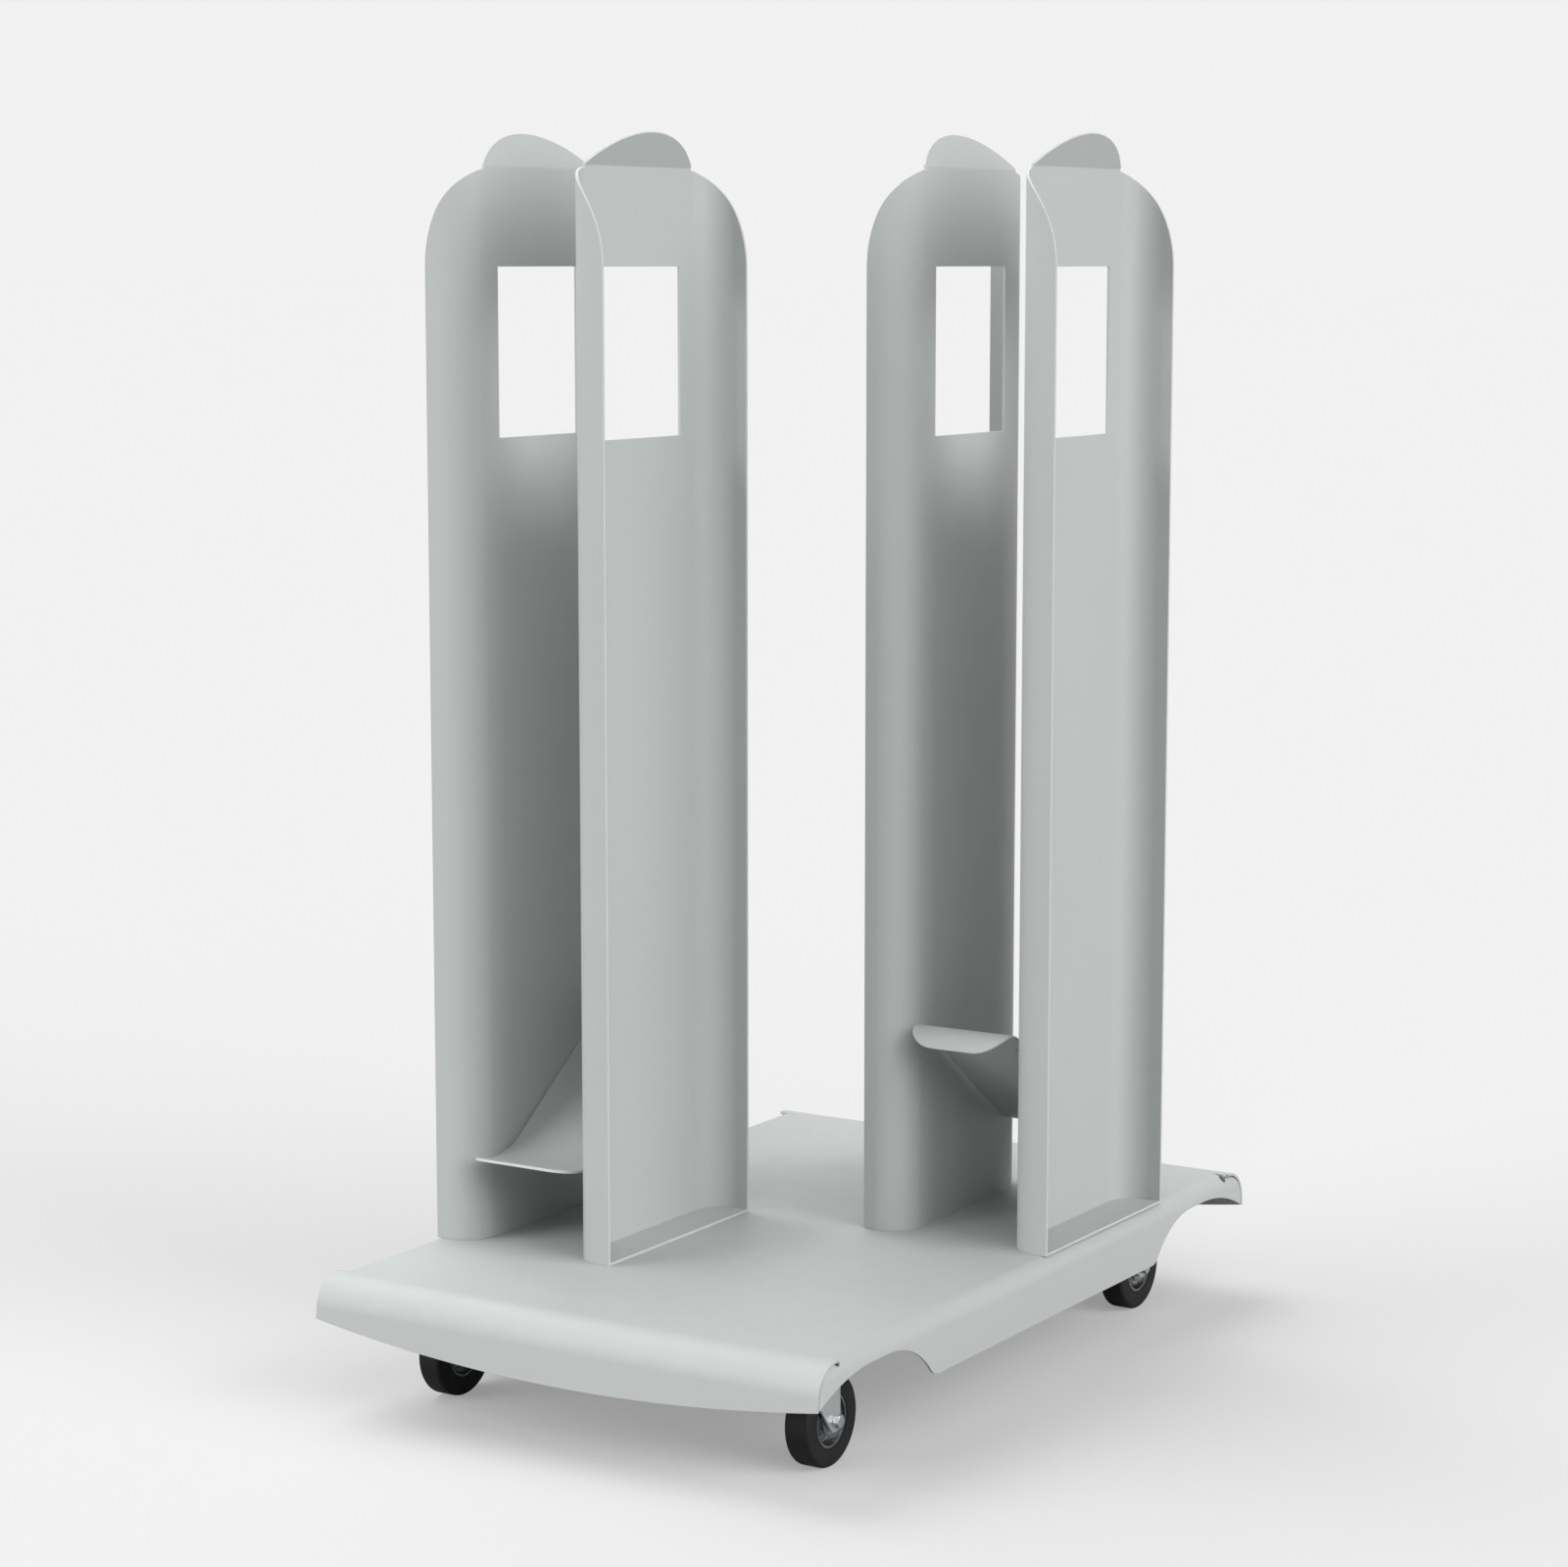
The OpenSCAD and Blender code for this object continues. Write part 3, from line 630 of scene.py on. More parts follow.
class Tree:
    """A geometry tree with named inputs, made for one kind of piece."""

    def __init__(self, name: str, sizes: dict[str, float]) -> None:
        """Starts the tree.

        Args:
            name: Name of the tree.
            sizes: Its number inputs, with their values.
        """
        self.tree = bpy.data.node_groups.new(name, "GeometryNodeTree")
        face = self.tree.interface
        face.new_socket("Geometry", in_out="INPUT", socket_type="NodeSocketGeometry")
        face.new_socket("Geometry", in_out="OUTPUT", socket_type="NodeSocketGeometry")
        self.ids: dict[str, str] = {}
        self.sizes = sizes
        inputs = {**dict.fromkeys(sizes, "Float"), "Finish": "Material", "Edge finish": "Material",
                  "Pattern": "Object"}
        for label, kind in inputs.items():
            made = face.new_socket(label, in_out="INPUT", socket_type="NodeSocket" + kind)
            self.ids[label] = made.identifier
        self.entry = self.tree.nodes.new("NodeGroupInput")

    def size(self, label: str) -> Field:
        """Finds one of the tree's number inputs.

        Args:
            label: The input's name.

        Returns:
            The input.
        """
        return Field(self.tree, self.entry.outputs[label])

    def node(self, kind: str, **inputs: object) -> bpy.types.Node:
        """Adds a node of a kind with its inputs, as add_node does, and returns it."""
        return add_node(self.tree, kind, **inputs)

    def end(self, geometry: Socket) -> None:
        """Realizes what the tree made, gives it its finishes and closes the tree.

        Args:
            geometry: What the tree made.
        """
        real = self.node("GeometryNodeRealizeInstances", Geometry=geometry)
        plain = self.node("GeometryNodeSetMaterial", Geometry=real.outputs[0],
                          Material=self.entry.outputs["Finish"])
        # Faces marked as cut edges take the edge finish, which for the powder coat is lighter: a painted
        # highlight.
        cut = add_node(self.tree, "GeometryNodeInputNamedAttribute", {"data_type": "BOOLEAN"},
                       Name=CUT_EDGE)
        edged = self.node("GeometryNodeSetMaterial", Geometry=plain.outputs[0],
                          Selection=cut.outputs[0], Material=self.entry.outputs["Edge finish"])
        out = self.tree.nodes.new("NodeGroupOutput")
        self.tree.links.new(edged.outputs[0], out.inputs[0])

    def shape(self, thing: bpy.types.Object, finish: "Finish", edge: "Finish | None" = None,
              pattern: bpy.types.Object | None = None) -> None:
        """Runs the tree on an object and leaves the plain result in it.

        Args:
            thing: The object that the tree starts from.
            finish: Finish of the piece.
            edge: Finish of its cut edges, where that differs; a lighter one there paints a highlight on
                them.
            pattern: Object that the tree repeats.
        """
        run = thing.modifiers.new("shape", "NODES")
        run.node_group = self.tree
        for label, value in self.sizes.items():
            run[self.ids[label]] = value
        run[self.ids["Finish"]] = finish.material
        run[self.ids["Edge finish"]] = (edge or finish).material
        if pattern:
            run[self.ids["Pattern"]] = pattern
        bake(thing)


def linked(name: str, data: bpy.types.ID) -> bpy.types.Object:
    """Makes an object of data and puts it into the scene.

    Args:
        name: Name of the object.
        data: Its mesh, lamp or camera.

    Returns:
        The object.
    """
    thing = bpy.data.objects.new(name, data)
    bpy.context.scene.collection.objects.link(thing)
    return thing


def bake(thing: bpy.types.Object) -> None:
    """Replaces an object's mesh by its evaluated one and drops its modifiers.

    Args:
        thing: The object.
    """
    bpy.context.view_layer.update()
    shaped = thing.evaluated_get(bpy.context.evaluated_depsgraph_get())
    mesh = bpy.data.meshes.new_from_object(shaped)
    old = thing.data
    thing.modifiers.clear()
    thing.data = mesh
    bpy.data.meshes.remove(old)


@dataclass(frozen=True)
class Finish:
    """Surface of one kind, drawn by nodes on object coordinates."""

    name: str
    colour: Triple
    roughness: float
    metallic: float = 0.0
    tone: float = 0.03
    tone_scale: float = 4.0
    rough_spread: float = 0.06
    grain: float = 600.0
    grain_depth: float = 0.02
    shine: float = 0.5
    streaks: Triple = (1.0, 1.0, 1.0)
    rings: float = 0.0
    centre: Triple = (0.0, 0.0, 0.0)

    @property
    def material(self) -> bpy.types.Material:
        """The finish as a material, built the first time that it is asked for."""
        return bpy.data.materials.get(self.name) or self._build()

    def _build(self) -> bpy.types.Material:
        """Builds the material's nodes.

        Returns:
            The material.
        """
        made = bpy.data.materials.new(self.name)
        made.use_nodes = True
        made.diffuse_color = (*self.colour, 1)
        tree = made.node_tree

        def noise(scale: float, detail: float, source: bpy.types.Node) -> Socket:
            """Adds a noise pattern and returns its value."""
            return add_node(tree, "ShaderNodeTexNoise", Scale=scale, Detail=detail,
                            Vector=source.outputs["Vector"]).outputs["Fac"]

        def spread(value: Socket, low: float, high: float) -> Socket:
            """Maps a pattern's middle range to the given values and returns the result."""
            return add_node(tree, "ShaderNodeMapRange", Value=value, From_Min=MID_NOISE[0],
                            From_Max=MID_NOISE[1], To_Min=low, To_Max=high).outputs["Result"]

        spot = add_node(tree, "ShaderNodeTexCoord").outputs["Object"]
        place = add_node(tree, "ShaderNodeMapping", {"vector_type": "POINT"}, Vector=spot,
                         Location=[-c for c in self.centre])
        stretch = add_node(tree, "ShaderNodeMapping", Vector=place.outputs["Vector"], Scale=self.streaks)
        dark, light = ((*(min(1.0, c * (1 + sign * self.tone)) for c in self.colour), 1)
                       for sign in (-1, 1))
        tint = add_node(tree, "ShaderNodeMix", {"data_type": "RGBA"}, A=dark, B=light,
                        Factor=spread(noise(self.tone_scale, 3, place), 0, 1))
        rough = spread(noise(self.tone_scale * ROUGH_SCALE, 2, stretch),
                       self.roughness - self.rough_spread, self.roughness + self.rough_spread)
        height = noise(self.grain, 2, stretch)
        if self.rings:
            turning = add_node(tree, "ShaderNodeTexWave", {"wave_type": "RINGS", "rings_direction": "X"},
                               Scale=self.rings, Distortion=0.4, Vector=place.outputs["Vector"])
            turned = Field(tree, turning.outputs["Fac"])
            height = turned.math("MULTIPLY_ADD", RING_SHARE, Field(tree, height)).socket
        relief = add_node(tree, "ShaderNodeBump", Strength=0.6, Distance=self.grain_depth * MM,
                          Height=height)
        plug(tree, tree.nodes["Principled BSDF"], Metallic=self.metallic, Specular_IOR_Level=self.shine,
             Base_Color=tint.outputs["Result"], Roughness=rough, Normal=relief.outputs["Normal"])
        return made


POWDER = Finish("satin_powder_coat", (0.428, 0.447, 0.442), 0.55, tone=0.012, tone_scale=3,
                grain=750, grain_depth=0.02, shine=0.26)
# The cut edges take a lighter colour than the coat: a painted highlight along the rounded edges.
POWDER_PAINTED_HIGHLIGHT = Finish("powder_coat_on_cut_edges", (0.5, 0.52, 0.514), 0.45, tone=0.03,
                     tone_scale=90, grain=900)
ZINC = Finish("zinc_plate", (0.62, 0.63, 0.64), 0.33, metallic=1.0, tone=0.08, tone_scale=60,
              grain=1200, grain_depth=0.01)
PRESSED = Finish("zinc_pressed_steel", (0.63, 0.65, 0.66), 0.36, metallic=0.85, tone=0.05,
                 tone_scale=25, grain=500, grain_depth=0.015, streaks=(1.0, 0.15, 1.0))
GROUND = Finish("ground_steel", (0.58, 0.59, 0.60), 0.2, metallic=1.0, tone=0.04, tone_scale=80,
                grain=2000, grain_depth=0.004)


def named(bm: Solid, name: str, place: Matrix | None = None) -> bpy.types.Object:
    """Makes an object of a solid drawn in millimetres.

    Args:
        bm: The solid, which is used up.
        name: Name of the object.
        place: Matrix to the cart's frame, in millimetres.

    Returns:
        The object, at the origin, with smooth faces.
    """
    bmesh.ops.transform(bm, matrix=Matrix.Scale(MM, 4) @ (place or Matrix()), verts=bm.verts)
    if place and place.determinant() < 0:
        bmesh.ops.reverse_faces(bm, faces=bm.faces)
    for face in bm.faces:
        face.smooth = True
    mesh = bpy.data.meshes.new(name)
    bm.to_mesh(mesh)
    bm.free()
    return linked(name, mesh)


def dress(thing: bpy.types.Object, finish: Finish, body: str, nodes: Sequence[str],
          edge: Finish | None = None) -> bpy.types.Object:
    """Finishes a piece and ties it to the cart.

    Args:
        thing: The piece.
        finish: Its finish, unless a tree has already set it.
        body: Body that it rides on.
        nodes: Nodes that it stands for.
        edge: Finish of its cut edges, where that differs; a lighter one there paints a highlight on
            them.

    Returns:
        The piece.
    """
    mesh = thing.data
    if not mesh.materials:
        mesh.materials.append(finish.material)
        # Faces marked as cut edges take the edge finish, which for the powder coat is lighter: a painted
        # highlight.
        if edge:
            mesh.materials.append(edge.material)
            for face, cut in zip(mesh.polygons, mesh.attributes[CUT_EDGE].data):
                face.material_index = int(cut.value)
    if CUT_EDGE in mesh.attributes:
        mesh.attributes.remove(mesh.attributes[CUT_EDGE])
    mesh.set_sharp_from_angle(angle=math.radians(SHARP_ANGLE))
    normals = thing.modifiers.new("normals", "WEIGHTED_NORMAL")
    normals.keep_sharp = True
    normals.weight = 80
    bake(thing)
    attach(thing, body)
    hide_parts(*nodes)
    log.info("%s rides on %s: %d faces for %s", thing.name, body, len(thing.data.polygons),
             ", ".join(nodes))
    return thing


def circle(x: float, y: float, radius: float, n: int = 24) -> list[Flat]:
    """Points of a round hole.

    Args:
        x: Place of its middle on the first axis.
        y: Place of its middle on the second axis.
        radius: Its radius.
        n: Number of points.

    Returns:
        The points.
    """
    return arc((x, y), radius, 0, 360 - 360 / n, n - 1)


@dataclass
class Towers:
    """The four columns with their feet, and the cradles in the slots between them."""

    sheet: Sheet = field(default_factory=Sheet)
    tower_y: float = 143.5
    slot_x: float = 191.5
    slot_w: float = 129.0
    width: float = 281.0
    depth: float = 52.0
    bend_r: float = 38.0
    height: float = 1180.0
    window: Flat = (157.0, 185.0)
    window_drop: float = 106.0
    corner: Flat = (83.0, 106.5)
    ear_h: float = 41.0
    ear_lean: float = 30.0
    ear_bend_r: float = 3.0
    ear_inset: float = 1.0
    notch: Flat = (2.5, 3.0)
    foot_clear: float = 0.3
    stud_in: float = 27.5
    stud_pitch: float = 65.0

    @property
    def flat(self) -> float:
        """Half of the web's flat width."""
        return self.width / 2 - self.bend_r

    @property
    def studs(self) -> list[Flat]:
        """Places of the studs under the feet.

        Returns:
            The places across and along the cart.
        """
        off = self.slot_w / 2 + self.stud_in
        return [(tower * (self.slot_x + side * off), tower * (self.tower_y + row * self.stud_pitch))
                for tower in (-1, 1) for side in (-1, 1) for row in (-1.5, -0.5, 0.5, 1.5)]

    @property
    def middle_r(self) -> float:
        """Radius of a column's bends at the middle of the sheet."""
        return self.bend_r - self.sheet.thickness / 2

    @property
    def ear_middle_r(self) -> float:
        """Radius of an ear's bend at the middle of the sheet."""
        return self.ear_bend_r + self.sheet.thickness / 2

    def _column_blank(self) -> Blank:
        """Cuts a column's blank.

        Returns:
            The blank: across the sheet, then up from the deck.
        """
        bend = self.middle_r * math.pi / 2
        edge = self.flat + bend + self.depth - self.bend_r
        ear_half = self.flat - self.ear_inset
        ear_base = self.height + self.ear_middle_r * math.radians(self.ear_lean)
        notch_out = ear_half + self.notch[0]

        def top(s: float) -> float:
            """Height of the rounded corner at a place across the sheet."""
            part = 1 - (edge - s) / self.corner[0]
            return self.height - self.corner[1] * (1 - math.sqrt(max(0.0, 1 - part * part)))

        stops = [edge - (self.depth - self.bend_r) * (i / 8) ** 2 for i in range(9)]
        bends = [self.flat + bend * i / 15 for i in range(16)]
        stops += [s for s in reversed(bends[:-1]) if s > notch_out + 0.5] + [notch_out]
        radius = (self.flat ** 2 + self.ear_h ** 2) / (2 * self.ear_h)
        ear = [ear_half * math.cos(math.pi / 2 * i / 24) for i in range(25)]
        half = [(edge, 0.0)] + [(s, top(s)) for s in stops]
        notch_z = self.height - self.notch[1]
        half += [(notch_out, notch_z), (ear_half, notch_z), (ear_half, self.height),
                 (ear_half, ear_base)]
        half += [(s, ear_base + self.ear_h - radius + math.sqrt(radius ** 2 - s ** 2)) for s in ear[:-1]]
        peak = [(0.0, ear_base + self.ear_h)]
        w, sill = self.window[0] / 2, self.height - self.window_drop - self.window[1]
        head = sill + self.window[1]
        pane = [(-w, sill), (w, sill), (w, head), (-w, head)]
        lines = [((s, -5.0), (s, self.height)) for b in bends for s in (b, -b)]
        ear_lines = [self.height + (ear_base - self.height) * i / 4 for i in range(5)]
        lines += [((-ear_half, h), (ear_half, h)) for h in ear_lines]
        return Blank(half + peak + flipped(half, True), [pane], lines)

    def _press_brake(self) -> Tree:
        """Makes the tree that bends a thick flat blank into a column.

        Returns:
            The tree. In the blank, X runs across the sheet, Y up and Z out of the slot face.
        """
        tree = Tree("press_brake", {
            "Flat half width": self.flat * MM, "Bend radius": self.middle_r * MM,
            "Sheet middle": self.sheet.thickness / 2 * MM, "Base height": DECK_Z * MM,
            "Height": self.height * MM, "Ear bend radius": self.ear_middle_r * MM,
            "Ear lean": math.radians(self.ear_lean)})
        start = tree.node("GeometryNodeInputPosition").outputs[0]
        parts = tree.node("ShaderNodeSeparateXYZ", Vector=start)
        across, up, off = (Field(tree.tree, parts.outputs[i]) for i in range(3))
        bend_r, flat = tree.size("Bend radius"), tree.size("Flat half width")
        ear_r, height = tree.size("Ear bend radius"), tree.size("Height")
        side, reach = across.math("SIGN"), across.math("ABSOLUTE")
        angle = ((reach - flat) / bend_r).clamped(math.pi / 2)
        flange = (reach - flat - bend_r * (math.pi / 2)).math("MAXIMUM", 0.0)
        ear = up - height
        lean = (ear / ear_r).clamped(tree.size("Ear lean"))
        leaf = (ear - ear_r * tree.size("Ear lean")).math("MAXIMUM", 0.0)
        thick, ear_thick = bend_r + off, ear_r + off
        x = tree.size("Sheet middle") + bend_r - thick * angle.math("COSINE") + flange
        x = x + ear_r + off - ear_thick * lean.math("COSINE") + leaf * lean.math("SINE")
        y = side * (reach.math("MINIMUM", flat) + thick * angle.math("SINE"))
        z = tree.size("Base height") + up.math("MINIMUM", height)
        z = z + ear_thick * lean.math("SINE") + leaf * lean.math("COSINE")
        spot = tree.node("ShaderNodeCombineXYZ", X=x.socket, Y=y.socket, Z=z.socket)
        bent = tree.node("GeometryNodeSetPosition", Geometry=tree.entry.outputs["Geometry"],
                         Position=spot.outputs[0])
        tree.end(bent.outputs[0])
        return tree

    def columns(self) -> None:
        """Builds the four columns, each bent by the press brake."""
        brake = self._press_brake()
        for stand in Stand:
            blank = self.sheet.solid([(self._column_blank(), lambda s, h, w: Vector((s, h, w)))])
            column = named(blank, f"{stand.key}_column_sheet")
            brake.shape(column, POWDER, POWDER_PAINTED_HIGHLIGHT)
            column.data.flip_normals()
            spot = stand.matrix(self.tower_y)
            spot.translation *= MM
            column.data.transform(spot)
            dress(column, POWDER, CART, [f"{stand.key}_column"])

    def feet(self) -> None:
        """Builds the plate in the bottom of each column."""
        inner = self.bend_r - self.sheet.thickness
        wide, gap = self.width / 2 - self.sheet.thickness, self.foot_clear
        for stand in Stand:
            half = [(self.depth, wide), (self.bend_r, wide), (self.bend_r, self.flat + inner - gap)]
            half += arc((self.bend_r, self.flat), inner - gap, 90, 180, 12)[1:]
            half += [(self.sheet.thickness, self.flat)]
            outline = half + flipped(half)
            middle = DECK_Z + self.sheet.thickness / 2
            plate = self.sheet.solid([(Blank(outline), lambda x, y, w: Vector((x, y, middle + w)))])
            foot = named(plate, f"{stand.key}_foot_plate", stand.matrix(self.tower_y))
            dress(foot, POWDER, CART, [f"{stand.key}_foot"], POWDER_PAINTED_HIGHLIGHT)

    def cradles(self) -> None:
        """Builds the cradle in each tower's slot."""
        for side, turn in (("left", 0), ("right", 180)):
            place = Matrix.Rotation(math.radians(turn), 4, "Z")
            place @= Matrix.Translation((-self.slot_x, -self.tower_y, 0))
            Cradle(self.sheet, self.width, self.slot_w).build(side, place)


@dataclass
class Cradle:
    """A curved sheet low in a slot: a lip, a trough, a slope and a rounded crest."""

    sheet: Sheet
    column_w: float
    slot_w: float
    gap: float = 5.0
    height: float = 101.5
    lip: Flat = (12.5, 28.0)
    lip_tilt: float = 12.5
    trough_r: float = 82.0
    slope: Flat = (36.7, 202.0)
    crest_r: float = 32.0
    crest_turn: float = 63.5
    corner_r: Flat = (15.0, 34.0)
    tab_w: float = 18.0
    tab_drop: float = 24.0
    tab_rise: float = 20.0
    tab_root: float = 12.0

    def build(self, side: str, place: Matrix) -> None:
        """Builds one cradle.

        Args:
            side: The tower's name.
            place: Matrix from the slot's frame to the cart's, in millimetres.
        """
        half_t, half = self.sheet.thickness / 2, self.slot_w / 2 - self.gap
        tilt, lean = math.radians(self.lip_tilt), math.radians(self.slope[0])
        start = (-self.column_w / 2 - self.lip[0] - half_t * math.sin(tilt),
                 DECK_Z + self.height - half_t * math.cos(tilt))
        trough_r, crest_r = self.trough_r + half_t, self.crest_r - half_t
        path = Path(start, -self.lip_tilt).straight(self.lip[1])
        path.turn(trough_r, self.lip_tilt + self.slope[0]).straight(self.slope[1])
        crest_at = path.length
        path.turn(crest_r, -self.slope[0] - self.crest_turn)
        low_tab = self.lip[1] + trough_r * tilt
        low_ends = [low_tab + trough_r * math.asin((self.tab_rise + s * self.tab_w / 2) / self.trough_r)
                    for s in (-1, 1)]
        high_mid = crest_at - self.tab_drop - self.tab_w / 2
        high_half = self.tab_w / 2 / math.cos(lean)
        edge = self.slot_w / 2
        right = arc((self.corner_r[0], half - self.corner_r[0]), self.corner_r[0], 180, 90, 10)
        far_r = self.corner_r[1]
        right += arc((path.length - far_r, half - far_r), far_r, 90, 0, 16)
        outline = right + flipped(right)
        lines = [((s, -edge - 1), (s, edge + 1)) for s in path.bend_lines(5)]

        def bent(s: float, x: float, w: float) -> Vector:
            """Lays a point of the blank on the cradle's path."""
            return Vector((x, *path.beside(s, w)))

        def under(s: float, x: float, w: float) -> Vector:
            """Lays a point of a tab against the sheet's lower face."""
            return bent(s, x, w - self.sheet.thickness)

        solid = self.sheet.solid([(Blank(outline, [], lines), bent)])
        for from_s, to_s in (low_ends, (high_mid - high_half, high_mid + high_half)):
            for sign in (-1, 1):
                root, tip = sign * (half - self.tab_root), sign * edge
                tab = [(from_s, root), (to_s, root), (to_s, tip), (from_s, tip)]
                solid = joined(solid, self.sheet.solid([(Blank(tab), under)]))
        cradle = named(solid, f"{side}_cradle_sheet", place)
        dress(cradle, POWDER, CART, [f"{side}_cradle"], POWDER_PAINTED_HIGHLIGHT)


@dataclass
class Platform:
    """The deck with its rolled ends and side skirts, and the crossmembers under it."""

    sheet: Sheet = field(default_factory=Sheet)
    width: float = 632.0
    length: float = 976.0
    end_r: float = 36.0
    end_turn: float = 84.0
    end_drop: Flat = (69.0, 45.0)
    side_r: float = 18.0
    side_drop: float = 66.0
    arch_drop: float = 19.2
    arch: Flat = (348.0, 380.0)
    arch_r: Flat = (112.0, 230.0)
    fillet_r: float = 20.0
    seam: float = 1.0
    notch: Flat = (1.2, 8.0)
    bite_r: float = 5.0
    mouth: Triple = (12.5, 1.0, 4.5)
    cross: Flat = (100.0, 17.0)
    cross_flange: float = 14.0
    cross_l: float = 590.0
    cross_y: float = 385.0
    cross_bend_r: float = 4.0
    caster_x: float = 234.5
    hole_r: float = 4.5
    nut_hole_r: float = 15.0
    bolt_spread: Flat = (80.0, 60.0)
    stud_places: list[Flat] = field(default_factory=list)
    beyond: Flat = (400.0, 600.0)

    def deck(self) -> None:
        """Builds the deck from its middle with the rolled ends, and its two side flaps."""
        half_t = self.sheet.thickness / 2
        middle_z = DECK_Z - half_t
        roll_y = self.length / 2 - self.end_r
        flat_x = self.width / 2 - self.side_r
        roll = Path((roll_y, middle_z), 0).turn(self.end_r - half_t, -self.end_turn)
        roll_l = roll.length
        roll.straight(self.end_drop[0])
        fold = Path((flat_x, middle_z), 0).turn(self.side_r - half_t, -90)
        fold_l = fold.length
        fold.straight(self.side_drop)

        def over_end(x: float, y: float, w: float) -> Vector:
            """Lays a point of the middle blank on the deck and its rolled ends.

            Args:
                x: Its place across the cart.
                y: Its place along the sheet.
                w: Its distance from the sheet's middle.

            Returns:
                The place.
            """
            run = abs(y) - roll_y
            if run <= 0:
                return Vector((x, y, middle_z + w))
            spot = roll.beside(run, w)
            return Vector((x, math.copysign(spot.x, y), spot.y))

        def over_side(x: float, y: float, w: float) -> Vector:
            """Lays a point of a side flap on its bend and skirt."""
            spot = fold.beside(max(0.0, abs(x) - flat_x), w)
            return Vector((math.copysign(spot.x, x), y, spot.y))

        low, rise = DECK_Z - self.end_drop[0], self.end_drop[0] - self.end_drop[1]
        arc_r = ((self.width / 2) ** 2 + rise ** 2) / (2 * rise)
        roll_end = roll.at(roll_l)[0].y

        def hem(x: float) -> float:
            """Place of an end skirt's lower edge on the blank."""
            z = low + arc_r - math.sqrt(arc_r ** 2 - x ** 2)
            return roll_y + roll_l + (roll_end - z) / math.sin(math.radians(self.end_turn))

        notch_y = roll_y - self.notch[1]
        side_y = notch_y - self.notch[0]
        slot_r = self.notch[0] / 2
        quarter = [(flat_x, side_y)] + arc((flat_x, side_y + slot_r), slot_r, -90, -270, 8)[1:]
        quarter += arc((self.width / 2, notch_y), self.bite_r, 180, 90, 8)
        quarter += [(x, hem(x)) for x in (self.width / 2 * (1 - i / 24) for i in range(24))]
        half = quarter + [(0.0, hem(0.0))] + flipped(quarter, True)
        outline = half + flipped(half)
        ends = [roll_y + s for s in roll.bend_lines(6)]
        over_x, over_y = self.beyond
        lines = [((-over_x, s * y), (over_x, s * y)) for y in ends for s in (-1, 1)]
        holes = [circle(x, y, self.hole_r, 16) for x, y in self.stud_places]
        flaps = self._flap(flat_x, fold_l, fold, roll_y, side_y)
        patches = [(Blank(outline, holes, lines), over_end)]
        for sign in (1, -1):
            outline = [(sign * x, y) for x, y in flaps]
            bends = [sign * (flat_x + s) for s in fold.bend_lines(7.5)[1:]]
            lines = [((x, -over_y), (x, over_y)) for x in bends]
            patches.append((Blank(outline, [], lines), over_side))
        deck = named(self.sheet.solid(patches), "deck_sheet")
        dress(deck, POWDER, CART, ["deck"])

    def _flap(self, flat_x: float, fold_l: float, fold: Path, roll_y: float,
              side_y: float) -> list[Flat]:
        """Outline of a side flap: across the sheet from the deck's flat, and along the cart.

        Args:
            flat_x: Place of the bend's start.
            fold_l: Length of the sheet in the bend.
            fold: Path of the bend and the skirt.
            roll_y: Place of the rolled ends' start.
            side_y: Place of the flap's end beside the deck.

        Returns:
            The outline's points.
        """
        fold_z, bend_r = fold.at(fold_l)[0].y, self.side_r - self.sheet.thickness / 2

        def across(z: float) -> float:
            """Finds the place across the blank of a height on the skirt or its bend.

            Args:
                z: The height.

            Returns:
                The place.
            """
            if z <= fold_z:
                return flat_x + fold_l + fold_z - z
            return flat_x + bend_r * math.acos(min(1.0, (z - fold_z) / bend_r))

        low = DECK_Z - self.side_drop
        inner = self.end_r - self.sheet.thickness - self.seam
        roll_mid = (roll_y, DECK_Z - self.end_r)
        crown = DECK_Z - self.arch_drop
        (in_y, out_y), (in_r, out_r), fillet = self.arch, self.arch_r, self.fillet_r
        tail = arc(roll_mid, inner, 90, 90 - self.end_turn, 14)
        slant, (tip_y, tip_z) = math.radians(self.end_turn), tail[-1]
        step = 0.1
        while tip_z > crown - out_r + math.sqrt(out_r ** 2 - (tip_y - out_y) ** 2):
            tip_y, tip_z = tip_y + step * math.cos(slant), tip_z - step * math.sin(slant)
        tail.append((tip_y, tip_z))
        reach = math.degrees(math.acos((tail[-1][0] - out_y) / out_r))
        fillet_z = low + fillet
        fillet_y = in_y - math.sqrt((in_r + fillet) ** 2 - (fillet_z - crown + in_r) ** 2)
        fillet_a = math.degrees(math.atan2(crown - in_r - fillet_z, in_y - fillet_y))
        side = tail + arc((out_y, crown - out_r), out_r, reach, 90, 12)[1:]
        side += arc((in_y, crown - in_r), in_r, 90, fillet_a + 180, 16)
        side += arc((fillet_y, fillet_z), fillet, fillet_a, -90, 10)[1:]
        lip, (mouth_x, mouth_y, mouth_r) = across(tail[0][1]), self.mouth
        mid = (flat_x + mouth_x, side_y + mouth_y)
        from_a = -180 - math.degrees(math.asin(-mouth_y / mouth_r))
        to_a = math.degrees(math.acos((lip - mid[0]) / mouth_r))
        flap = [(flat_x, side_y)] + arc(mid, mouth_r, from_a, to_a, 20)
        flap += [(across(z), y) for y, z in side]
        return flap + flipped(flap)

